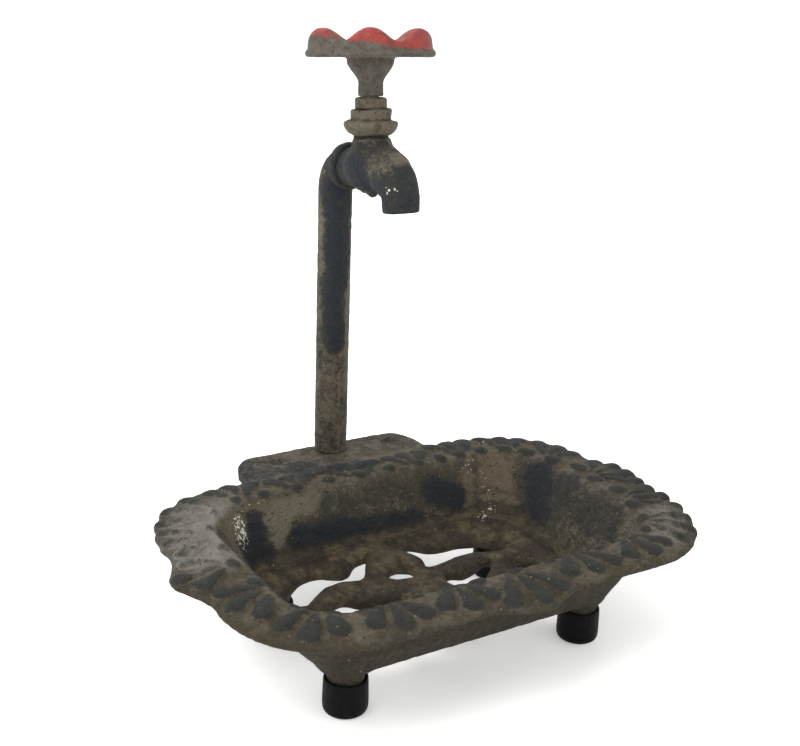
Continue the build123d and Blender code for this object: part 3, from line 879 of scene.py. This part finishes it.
# Each stain is a soft-edged sausage: start and end from the dish's centre (z from the ground), radius
# and strength
NAVY_STAINS = (
    ((-43, 35, 34), (-44, 32, 29), 4.5, 1.0),
    ((-48, 29, 27), (-42, 30, 23), 6.0, 1.0),
    ((-29, 31, 26), (-14, 31, 26), 6.0, 0.95),
    ((-14, 31, 26), (14, 31, 24), 5.0, 0.8),
    ((23, 34, 31), (31, 33, 28), 6.6, 1.0),
    ((-18, 34, 31), (10, 35, 31), 8.0, 0.3),
    ((57, 20, 36), (54, 12, 26), 9.0, 0.75),
    ((59, 8, 34), (58, -10, 31), 13.0, 0.5),
    ((60, -17, 37), (57, -20, 30), 6.0, 0.55),
    ((-36, 60, 39), (-16, 54, 39), 13.0, 0.62),
    ((-14, 49, 39), (4, 47, 39), 6.0, 0.7),
    ((18, 64, 39), (28, 56, 39), 9.0, 0.3),
)
SAND_STAINS = (
    ((-54, 31, 37), (-44, 37, 36), 7.0, 0.9),
    ((-40, 37, 36), (-24, 37, 37), 6.5, 0.9),
    ((-37, 33, 25), (-34, 34, 31), 3.5, 0.7),
    ((50, 36, 38), (46, 29, 21), 8.0, 0.85),
    ((-4, 19, 21), (-4, 12, 21), 6.0, 0.8),
    ((-18, -2, 21), (-8, 0, 21), 5.0, 0.6),
    ((12, 4, 21), (17, 3, 21), 5.0, 0.5),
    ((-3, 60, 39), (14, 56, 39), 6.0, 0.35),
    ((37, 35, 33), (35, 31, 24), 4.0, 0.4),
)
WHITE_STAINS = (
    ((-49, 33, 35), (-50, 30, 30), 4.2, 1.0),
    ((-54, 33, 38), (-53, 36, 38), 2.5, 0.5),
    ((-46, 37, 37), (-36, 39, 38), 3.0, 0.4),
    ((-20, 40, 38), (-16, 41, 39), 2.0, 0.4),
    ((44, 28, 23), (38, 25, 21), 3.2, 0.65),
    ((41, 37, 37), (36, 36, 35), 3.2, 0.55),
    ((42, 34, 34), (44, 30, 26), 5.5, 0.42),
    ((48, 45, 40), (52, 44, 40), 2.2, 0.5),
    ((-43, 27, 21), (-40, 26, 21), 2.0, 0.4),
)
# Rim patches that the tray's finish makes paler, with less petal contrast
PALE_RIM_PATCHES = (
    ((-72, 10, 39), (-62, 34, 39), 15.0, 1.0),
    ((-62, 34, 39), (-50, 42, 39), 8.0, 0.6),
    ((58, -42, 39), (74, -26, 39), 8.0, 0.6),
)


def stained(x, y, z, stains):
    """How far inside the stains each point lies, 0 outside to 1 in the middle."""
    total = np.zeros(len(x))
    for start, end, radius, strength in stains:
        away = capsule(x, y, z, start, end, 0.0)
        total = np.maximum(total, strength * np.clip(1.6 * (1 - away / radius), 0, 1))
    return total


def curvature(obj):
    """Hollow (negative) to proud (positive) for each vertex, smoothed over a few rings."""
    mesh = obj.data
    pairs = np.zeros(len(mesh.edges) * 2, np.int32)
    mesh.edges.foreach_get("vertices", pairs)
    a, b = pairs.reshape(-1, 2).T
    points = mesh_points(obj).astype(float)
    count = len(points)
    ends = np.concatenate([a, b])
    others = np.concatenate([b, a])
    share = np.maximum(np.bincount(ends, minlength=count), 1)

    def around(values):
        return np.bincount(ends, weights=values[others], minlength=count) / share

    mean = np.stack([around(points[:, i]) for i in range(3)], 1)
    bend = -((mean - points) * vertex_normals(obj)).sum(1)
    for _ in range(2):
        bend = 0.4 * bend + 0.6 * around(bend)
    return bend / (np.abs(bend).std() * 2 + 1e-9)


def add_stains(obj, x, y, z, **stains):
    """One attribute for each kind of stain."""
    for name, spots in stains.items():
        add_attribute(obj, name, stained(x, y, z, spots))


def stain(obj, navy=(), sand=(), white=()):
    """Gives a small casting the attributes that tap_iron reads; stains are from the object's origin."""
    add_stains(obj, *mesh_points(obj).T, navy=navy, sand=sand, white=white)
    return add_bend(obj)


def stain_tray(obj, relief):
    """Gives the tray the attributes that tray_iron reads."""
    points = mesh_points(obj)
    x, y, z = points[:, 0], points[:, 1] - DISH_Y, points[:, 2]
    add_stains(obj, x, y, z, navy=NAVY_STAINS, sand=SAND_STAINS, white=WHITE_STAINS, fade=PALE_RIM_PATCHES)
    raised = relief.at(x, y) * (z > RIM_GROUND - 0.8)
    add_attribute(obj, "relief", raised)
    mouth = round_rect(x, y, *MOUTH)
    below_rim = step_between(RIM_GROUND + 0.8, RIM_GROUND - 1.5, z)
    add_attribute(obj, "wall", step_between(1.5, -1.0, mouth) * below_rim)
    inside = step_between(0.5, -2.0, round_rect(x, y, *bowl_size(z, 1.6)))
    outside = (1 - inside) * step_between(RIM_GROUND - 0.2, RIM_GROUND - 1.6, z)
    # Painted shade: grows lower down on the outside
    add_attribute(obj, "low", outside * step_between(35, 24, z))
    low_wall = 0.75 * inside * step_between(26, 20.5, z)
    add_attribute(obj, "floor", 0.85 * inside * step_between(23.5, 20.5, z))
    skirt = 0.75 * step_between(11.0, 15.0, mouth) * step_between(0.45, 0.05, raised)
    # Where brown and olive go: the skirt, the outside below the rim and the low inner walls; on the outside
    # and low walls it is partly painted shade
    under = np.maximum(np.maximum(outside, low_wall), skirt)
    on_ledge = (y > LEDGE_Y[0] + 3) & (z > LEDGE_Z[0] - 0.5)
    add_attribute(obj, "under", np.where(on_ledge, 0.45 * step_between(39.0, 38.4, z), under))
    return add_bend(obj)


def add_bend(obj):
    """Gives a piece the attribute that its finish reads as hollows and edges, for wear and for painted shade
    in the hollows.
    """
    add_attribute(obj, "bend", np.clip(curvature(obj), -1, 1))
    return obj


# ---- materials


def colour(red, green, blue):
    """A display colour, 0 to 255, as the linear values that shaders take."""
    shown = (value / 255 for value in (red, green, blue))
    return tuple(c / 12.92 if c <= 0.04 else ((c + 0.055) / 1.055) ** 2.4 for c in shown)


TAUPE = colour(92, 86, 74)
TAN = colour(86, 77, 63)
RIM_PALE = colour(82, 76, 64)
RIM_LIGHT_GREY = colour(112, 108, 101)
CHARCOAL = colour(35, 35, 31)
SLATE = colour(41, 42, 39)
NAVY = colour(25, 30, 37)
SLATE_BLUE = colour(29, 34, 40)
BROWN = colour(50, 43, 31)
OLIVE = colour(49, 45, 32)
# Painted shade for hollows and creases, and the real dark edges round the floor's openings
SHADE_AND_DARK_EDGE = colour(24, 21, 18)
BROWN_PALE = colour(64, 57, 45)
WORN_TAUPE = colour(82, 77, 68)
WORN_BROWN = colour(62, 56, 49)
SHADED = colour(33, 29, 21)
WALL_DARK = colour(57, 53, 43)
LEAF = colour(84, 74, 55)
FLOOR_BROWN = colour(45, 38, 28)
WHITE_SPECK = colour(190, 188, 172)
PALE_SPECK = colour(118, 114, 100)
PIT = colour(26, 25, 23)
RED = colour(130, 44, 38)
DARK_RED = colour(108, 38, 34)
RUBBED_RED = colour(160, 82, 72)
RUBBER = colour(6, 6, 8)
RUBBER_DUST = colour(27, 26, 26)
STEEL = colour(128, 126, 122)
STEEL_DARK = colour(70, 66, 62)
FIBRE = colour(50, 42, 35)
FIBRE_DARK = colour(28, 24, 21)
FLOOR_WHITE = colour(250, 250, 249)


class Look:
    """A node material, with a short call for each kind of node."""

    def __init__(self, name, **sockets):
        self.material = bpy.data.materials.new(name)
        self.material.use_nodes = True
        self.nodes = self.material.node_tree.nodes
        self.links = self.material.node_tree.links
        self.shader = self.nodes["Principled BSDF"]
        self.place = self.node("TexCoord", {}).outputs["Object"]
        self.base = None
        for socket, value in sockets.items():
            self.put(self.shader.inputs[socket.replace("_", " ")], value)

    def put(self, socket, value):
        """Gives an input a number, a colour or another node's output."""
        if isinstance(value, bpy.types.NodeSocket):
            self.links.new(value, socket)
        elif isinstance(value, tuple):
            socket.default_value = (*value, 1)
        else:
            socket.default_value = value

    def node(self, kind, inputs, **settings):
        """Adds a node; inputs are by name or number."""
        node = self.nodes.new("ShaderNode" + kind)
        for name, value in settings.items():
            setattr(node, name, value)
        for name, value in inputs.items():
            self.put(node.inputs[name], value)
        return node

    def noise(self, size, detail=3.0, roughness=0.55, distortion=0.0, shift=0.0):
        """Noise from 0 to 1, with features about `size` mm across."""
        inputs = {"Vector": self.place, "W": shift, "Scale": 1 / (size * MM)}
        inputs.update({"Detail": detail, "Roughness": roughness, "Distortion": distortion})
        cloud = self.node("TexNoise", inputs, noise_dimensions="4D")
        return self.mask(cloud.outputs["Fac"], 0.30, 0.70)

    def specks(self, size, share, shift=0.0):
        """Round specks in that share of a pattern's cells; share may be an output."""
        inputs = {"Vector": self.place, "W": shift, "Scale": 1 / (size * MM)}
        cell = self.node("TexVoronoi", inputs, voronoi_dimensions="4D")
        split = self.node("SeparateColor", {0: cell.outputs["Color"]})
        chosen = self.math("LESS_THAN", split.outputs[0], share)
        return self.times(chosen, self.mask(cell.outputs["Distance"], 0.52, 0.38))

    def attributes(self, *names):
        """The outputs of the attributes that the meshes carry."""
        return [self.node("Attribute", {}, attribute_name=name).outputs["Fac"] for name in names]

    def math(self, operation, a, b):
        return self.node("Math", {0: a, 1: b}, operation=operation).outputs[0]

    def times(self, a, b):
        return self.math("MULTIPLY", a, b)

    def total(self, start, *terms):
        """start plus each (value, weight) pair."""
        for value, weight in terms:
            start = self.node("Math", {0: value, 1: weight, 2: start}, operation="MULTIPLY_ADD").outputs[0]
        return start

    def span(self, value, low, high):
        """Spreads a 0 to 1 value over low to high."""
        return self.total(low, (value, high - low))

    def mask(self, value, low, high):
        """0 at low, 1 at high, smooth between."""
        inputs = {"Value": value, "From Min": low, "From Max": high}
        return self.node("MapRange", inputs, interpolation_type="SMOOTHSTEP").outputs["Result"]

    def patches(self, low, high, *terms):
        """A mask of the sum of (value, weight) pairs."""
        return self.mask(self.total(0.0, *terms), low, high)

    def mix(self, factor, a, b):
        """From colour a, where the factor is 0, to colour b."""
        return self.node("Mix", {0: factor, 6: a, 7: b}, data_type="RGBA").outputs[2]

    def cover(self, colour, *factors):
        """Lays a colour over the present one, as far as the product of the factors."""
        share = factors[0]
        for factor in factors[1:]:
            share = self.times(share, factor)
        self.base = self.mix(share, self.base, colour)

    def finish(self, roughness, *layers):
        """Sets colour, roughness and bumps, from (height, depth in mm) pairs; gives the material."""
        self.put(self.shader.inputs["Base Color"], self.base)
        self.put(self.shader.inputs["Roughness"], roughness)
        below = {}
        for height, depth in layers:
            bump = self.node("Bump", {"Height": height, "Distance": depth * MM, **below})
            below = {"Normal": bump.outputs["Normal"]}
        self.put(self.shader.inputs["Normal"], bump.outputs["Normal"])
        return self.material


def tray_iron():
    """The tray's worn paint: dark petals over sandy valleys, navy and taupe clouds, brown where thin; the
    brown and olive underneath also stand in for painted shade, which darkens lower on the outside and in the
    hollows.
    """
    look = Look("tray_iron", Specular_IOR_Level=0.2)
    fine, grain = look.noise(0.75, 2.0, 0.6), look.noise(2.0, 3.0, 0.6, shift=3)
    cloud, wide = look.noise(7.0, 4.0, 0.62, 0.5, shift=5), look.noise(26.0, 3.0, 0.5, 0.4, shift=9)
    grit, flake = look.noise(0.42, 2.0, 0.7, shift=21), look.noise(1.0, 2.0, 0.7, shift=25)
    pimple = look.noise(0.35, 1.0, shift=12)
    relief, bend, navy, sand, white = look.attributes("relief", "bend", "navy", "sand", "white")
    fade, wall, floor, under, low = look.attributes("fade", "wall", "floor", "under", "low")
    ragged = look.total(0.0, (grain, 0.28), (fine, 0.24), (cloud, 0.30), (grit, 0.18))
    wall_dark = look.patches(
        0.55, 1.25, (ragged, 1.3), (grit, 0.35), (wide, 0.4), (navy, 0.95), (sand, -1.35)
    )
    rim_dark = look.patches(
        0.42, 1.22, (relief, 0.85), (fade, -0.55), (ragged, 0.8), (bend, 0.35), (navy, 0.4), (sand, -0.2)
    )
    dark = look.total(rim_dark, (wall, look.math("SUBTRACT", wall_dark, rim_dark)))
    valley = look.mix(look.patches(0.25, 0.75, (cloud, 0.6), (grain, 0.4)), RIM_PALE, BROWN_PALE)
    pale = look.mix(look.mask(wide, 0.3, 0.7), TAUPE, TAN)
    pale = look.mix(wall, look.mix(fade, valley, RIM_LIGHT_GREY), pale)
    brown_wall = look.times(wall, look.total(0.8, (navy, -0.8)))
    look.base = look.mix(dark, pale, look.mix(brown_wall, look.mix(cloud, CHARCOAL, SLATE), WALL_DARK))
    blue = look.patches(0.85, 1.50, (navy, 1.0), (ragged, 1.0), (wide, 0.2))
    look.cover(NAVY, blue, 0.9)
    # Brown and olive where the paint is thin, which on the outside and low walls is also painted shade;
    # lower on the outside it goes to painted shade (SHADED)
    thin_paint_and_shade = look.mix(look.mask(ragged, 0.30, 0.65), BROWN, OLIVE)
    thin_paint_and_shade = look.mix(look.times(low, 0.7), thin_paint_and_shade, SHADED)
    look.cover(thin_paint_and_shade, under, look.span(ragged, 0.7, 1.0))
    leaf = look.mix(look.patches(0.30, 0.75, (cloud, 0.7), (grit, 0.3)), FLOOR_BROWN, LEAF)
    look.cover(leaf, floor, look.total(1.0, (sand, -0.75)))
    # Painted shade: the hollows and the crease between wall and floor are darkened, most on the walls
    look.cover(SHADE_AND_DARK_EDGE, look.mask(bend, -0.2, -0.8), look.span(wall, 0.15, 0.55))
    # Real dark edges round the floor's openings
    look.cover(SHADE_AND_DARK_EDGE, floor, look.mask(bend, 0.05, 0.6), 0.6)
    flakes = look.total(-0.15, (flake, 0.75), (grit, 0.35), (white, 0.6))
    look.cover(WHITE_SPECK, look.mask(flakes, 1.0, 1.08))
    look.cover(PALE_SPECK, look.specks(0.5, 0.005, 4.0))
    look.cover(PIT, look.specks(0.8, 0.05, 7.0))
    bumps = (cloud, 0.20), (grain, 0.28), (fine, 0.22), (pimple, 0.08)
    return look.finish(look.span(ragged, 0.60, 0.88), *bumps)


def tap_iron():
    """The same paint on the standpipe and tap, with rusty brown patches and painted shade in the hollows."""
    look = Look("tap_iron", Specular_IOR_Level=0.2)
    fine, grain = look.noise(0.65, 2.0, 0.6), look.noise(1.8, 3.0, 0.6, shift=3)
    cloud, wide = look.noise(6.0, 4.0, 0.62, 0.5, shift=15), look.noise(24.0, 3.0, 0.5, 0.3, shift=19)
    scab, pimple = look.noise(3.5, 4.0, 0.65, 0.6, shift=31), look.noise(0.33, 1.0, shift=12)
    bend, navy, sand, white = look.attributes("bend", "navy", "sand", "white")
    ragged = look.total(0.0, (grain, 0.34), (fine, 0.30), (cloud, 0.36))
    dark = look.patches(0.35, 1.15, (ragged, 1.0), (wide, 0.4), (navy, 1.2), (sand, -1.1), (bend, -0.1))
    look.base = look.mix(dark, look.mix(wide, TAUPE, TAN), look.mix(cloud, CHARCOAL, SLATE))
    blue = look.patches(0.70, 1.25, (navy, 1.0), (ragged, 0.8), (wide, 0.2))
    look.cover(SLATE_BLUE, blue, 0.85)
    rust = look.patches(0.70, 0.95, (scab, 1.0), (sand, 0.15))
    look.cover(BROWN, rust, 0.6)
    # Painted shade: the hollows are darkened
    look.cover(SHADE_AND_DARK_EDGE, look.mask(bend, -0.2, -0.9), 0.6)
    look.cover(WHITE_SPECK, look.specks(0.9, look.times(white, 0.6)))
    look.cover(PIT, look.specks(0.7, 0.05, 7.0))
    bumps = (cloud, 0.12), (grain, 0.20), (fine, 0.16), (pimple, 0.06)
    return look.finish(look.span(ragged, 0.58, 0.84), *bumps)


def worn_red_paint():
    """Red paint on the wheel's lobes, rubbed through to taupe on one side, iron below and on the stem."""
    look = Look("worn_red_paint", Specular_IOR_Level=0.35)
    fine, grain = look.noise(0.6, 2.0, 0.6), look.noise(1.8, 3.0, 0.6, shift=3)
    cloud = look.noise(5.0, 4.0, 0.62, 0.4, shift=6)
    painted, bend = look.attributes("painted", "bend")
    ragged = look.total(0.0, (grain, 0.40), (fine, 0.20), (cloud, 0.40))
    iron = look.mix(look.patches(0.20, 0.80, (ragged, 1.0), (bend, -0.05)), WORN_TAUPE, WORN_BROWN)
    iron = look.mix(look.patches(0.75, 1.2, (cloud, 0.8), (fine, 0.2)), iron, CHARCOAL)
    red = look.mix(look.mask(cloud, 0.30, 0.90), RED, DARK_RED)
    red = look.mix(look.patches(0.75, 0.95, (fine, 0.7), (bend, 0.3)), red, RUBBED_RED)
    paint = look.patches(0.46, 0.70, (painted, 1.0), (ragged, 0.32), (bend, 0.03))
    look.base = look.mix(paint, iron, red)
    look.cover(PIT, look.specks(0.7, 0.06, 4.0))
    roughness = look.total(0.70, (paint, -0.22), (ragged, 0.12))
    return look.finish(roughness, (paint, 0.08), (grain, 0.16), (fine, 0.10))


def boot_rubber():
    """Satin black rubber with scuffs and a little dust."""
    look = Look("boot_rubber", Specular_IOR_Level=0.08)
    scuff = look.noise(3.0, 5.0, 0.7, 1.2)
    dust = look.noise(0.5, 2.0, 0.6, shift=4)
    worn = look.patches(0.50, 0.85, (scuff, 0.7), (dust, 0.3))
    look.base = look.mix(look.times(worn, 0.45), RUBBER, RUBBER_DUST)
    return look.finish(look.span(worn, 0.50, 0.72), (scuff, 0.10), (dust, 0.05))


def dull_steel():
    """Zinc-dull steel with dark grime."""
    look = Look("dull_steel", Metallic=1.0)
    cloud, fine = look.noise(2.5, 5.0, 0.65, 0.5), look.noise(0.5, 2.0, 0.6, shift=4)
    grime = look.patches(0.30, 0.75, (cloud, 0.7), (fine, 0.3))
    look.base = look.mix(grime, STEEL, STEEL_DARK)
    return look.finish(look.span(grime, 0.34, 0.62), (cloud, 0.05), (fine, 0.03))


def pressed_fibre():
    """Brown pressed fibre for gasket and packing."""
    look = Look("pressed_fibre", Specular_IOR_Level=0.3)
    strand, cloud = look.noise(0.4, 3.0, 0.7, 2.0), look.noise(3.0, 4.0, 0.6)
    look.base = look.mix(strand, FIBRE, FIBRE_DARK)
    return look.finish(look.span(cloud, 0.75, 0.95), (strand, 0.08))


def pale_floor():
    """A plain pale backdrop."""
    look = Look("pale_floor", Specular_IOR_Level=0.1, Roughness=0.9, Emission_Strength=0.3)
    look.put(look.shader.inputs["Emission Color"], FLOOR_WHITE)
    look.put(look.shader.inputs["Base Color"], FLOOR_WHITE)
    return look.material


# ---- stage

FLOOR_FLAT = 4000.0
COVE_RADIUS = 4000.0
COVE_STEPS = 24


def make_backdrop(material):
    """A round floor whose edge curves up so that no view shows a horizon."""
    outline = [(0.0, 0.0), (400.0, 0.0), (1200.0, 0.0), (FLOOR_FLAT, 0.0)]
    for i in range(1, COVE_STEPS + 1):
        turn = np.pi / 2 * i / COVE_STEPS
        outline.append((FLOOR_FLAT + COVE_RADIUS * np.sin(turn), COVE_RADIUS * (1 - np.cos(turn))))
    outline.append((FLOOR_FLAT + COVE_RADIUS, COVE_RADIUS + 2000.0))
    backdrop = new_mesh("backdrop", *lathe(outline))
    backdrop.data.materials.append(material)


def add_light(name, place, size, power, aim=(0.0, 0.0, 0.08)):
    """A square soft light at a place in metres, turned towards the object."""
    data = bpy.data.lights.new(name, "AREA")
    data.energy = power
    data.size = size
    light = add_object(name, data)
    light.location = place
    light.rotation_euler = (Vector(place) - Vector(aim)).to_track_quat("Z", "Y").to_euler()


def make_lights():
    """White surroundings, a large soft key from the upper left and a weaker light from the right."""
    world = bpy.data.worlds.new("studio")
    world.use_nodes = True
    background = world.node_tree.nodes["Background"]
    background.inputs["Color"].default_value = (1.0, 1.0, 1.0, 1.0)
    background.inputs["Strength"].default_value = 0.8
    bpy.context.scene.world = world
    add_light("key", (-0.75, -0.25, 1.0), 0.6, 11.0)
    add_light("fill", (0.9, -0.7, 0.7), 0.9, 2.0)
    add_light("back", (0.1, 1.0, 0.9), 0.8, 3.0)
    bpy.context.scene.view_settings.view_transform = "Standard"


# ---- camera

CAMERA_PLACE = (-184.64, -280.35, 195.94)
CAMERA_AZIMUTH = -32.0334
CAMERA_ELEVATION = 18.3473
CAMERA_ROLL = 2.2464
LENS = 53.277


def make_camera():
    """The camera, at the reference view."""
    azimuth, elevation, roll = np.radians([CAMERA_AZIMUTH, CAMERA_ELEVATION, CAMERA_ROLL])
    level = np.cos(elevation)
    back = Vector((np.sin(azimuth) * level, -np.cos(azimuth) * level, np.sin(elevation)))
    right = Vector((0, 0, 1)).cross(back).normalized()
    up = back.cross(right)
    turned_right = np.cos(roll) * right + np.sin(roll) * up
    turned_up = -np.sin(roll) * right + np.cos(roll) * up
    data = bpy.data.cameras.new("camera")
    data.lens = LENS
    data.sensor_width = 36.0
    data.clip_start = 0.01
    camera = add_object("camera", data)
    facing = Matrix((turned_right, turned_up, back)).transposed().to_4x4()
    camera.matrix_world = Matrix.Translation(Vector(CAMERA_PLACE) * MM) @ facing
    bpy.context.scene.camera = camera


# ---- the object

STEEL_NODES = (
    "standpipe_screw", "standpipe_washer", "standpipe_lock_washer", "inlet_stud",
    "spindle", "handwheel_washer", "handwheel_screw",
)
FIBRE_NODES = ("bonnet_gasket", "gland_packing")
BOOTS = [f"rubber_boot_{end}_{side}" for end, side in product(("front", "rear"), ("left", "right"))]

# Stains on the standpipe and the tap, from the object's origin
PIPE_NAVY = (
    ((-2, 54, 134), (-1, 53, 102), 6.5, 0.9),
    ((-3, 54, 102), (-2, 53, 80), 5.0, 0.8),
    ((0, 50, 145), (-2, 56, 138), 8.0, 0.35),
)
PIPE_SAND = (
    ((5, 56, 104), (4, 55, 76), 3.5, 0.9),
    ((-5, 57, 124), (-5, 58, 104), 2.5, 0.3),
    ((0, 59, 66), (0, 59, 44), 9.0, 0.1),
)
BODY_NAVY = (
    ((-6, 34, 142), (-5, 31, 138), 7.0, 0.9),
    ((0, 44, 141), (0, 34, 144), 12.0, 0.7),
    ((0, 34, 144), (0, 19, 130), 13.0, 0.5),
    ((0, 20, 134), (0, 18, 126), 13.0, 0.9),
)
BODY_SAND = (((4, 34, 149), (4, 29, 147), 4.0, 0.7),)
BODY_WHITE = (
    ((-5.6, 17.6, 136.4), (-4.4, 15.4, 137.6), 1.6, 0.9),
    ((-3.2, 15, 142), (-3, 15, 142.5), 1.0, 0.7),
)
COLLAR_NAVY = (((0, 48, 140), (0, 51, 140), 12.0, 0.8),)
BONNET_SAND = (((0, 37, 149), (0, 38, 164), 14.0, 0.55),)


def finish_piece(obj, body, node, material):
    """Puts a piece in its CAD node's place, on its body, with its finish."""
    obj.data.materials.clear()
    obj.data.materials.append(material)
    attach(obj, body)
    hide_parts(node)


def finish_node(node, material):
    """Gives a CAD node that stays as it is its finish."""
    for holder in bpy.data.objects[node].material_slots:
        holder.material = material


make_camera()
make_lights()
make_backdrop(pale_floor())

tray_finish, tap_finish, paint = tray_iron(), tap_iron(), worn_red_paint()
rubber, steel, fibre = boot_rubber(), dull_steel(), pressed_fibre()

finish_piece(make_tray(), "basin", "tray", tray_finish)
finish_piece(stain(make_standpipe(), PIPE_NAVY, PIPE_SAND), "basin", "standpipe", tap_finish)
finish_piece(stain(make_collar(), COLLAR_NAVY), "basin", "inlet_collar", tap_finish)
finish_piece(stain(make_tap_body(), BODY_NAVY, BODY_SAND, BODY_WHITE), "basin", "tap_body", tap_finish)
bonnet = turned("cast_bonnet", BONNET_OUTLINE, ((4.0, 0.30), (1.6, 0.16), (0.8, 0.06)), 56)
finish_piece(stain(bonnet, sand=BONNET_SAND), "basin", "bonnet", tap_finish)
gland = turned("cast_gland_nut", GLAND_OUTLINE, ((4.0, 0.15), (1.6, 0.10), (0.8, 0.05)), 58)
finish_piece(stain(gland, sand=BONNET_SAND), "basin", "gland_nut", tap_finish)
finish_piece(make_handwheel(), "handle", "handwheel", paint)
for boot in BOOTS:
    finish_piece(make_boot(boot), "basin", boot, rubber)
for node in STEEL_NODES:
    finish_node(node, steel)
for node in FIBRE_NODES:
    finish_node(node, fibre)
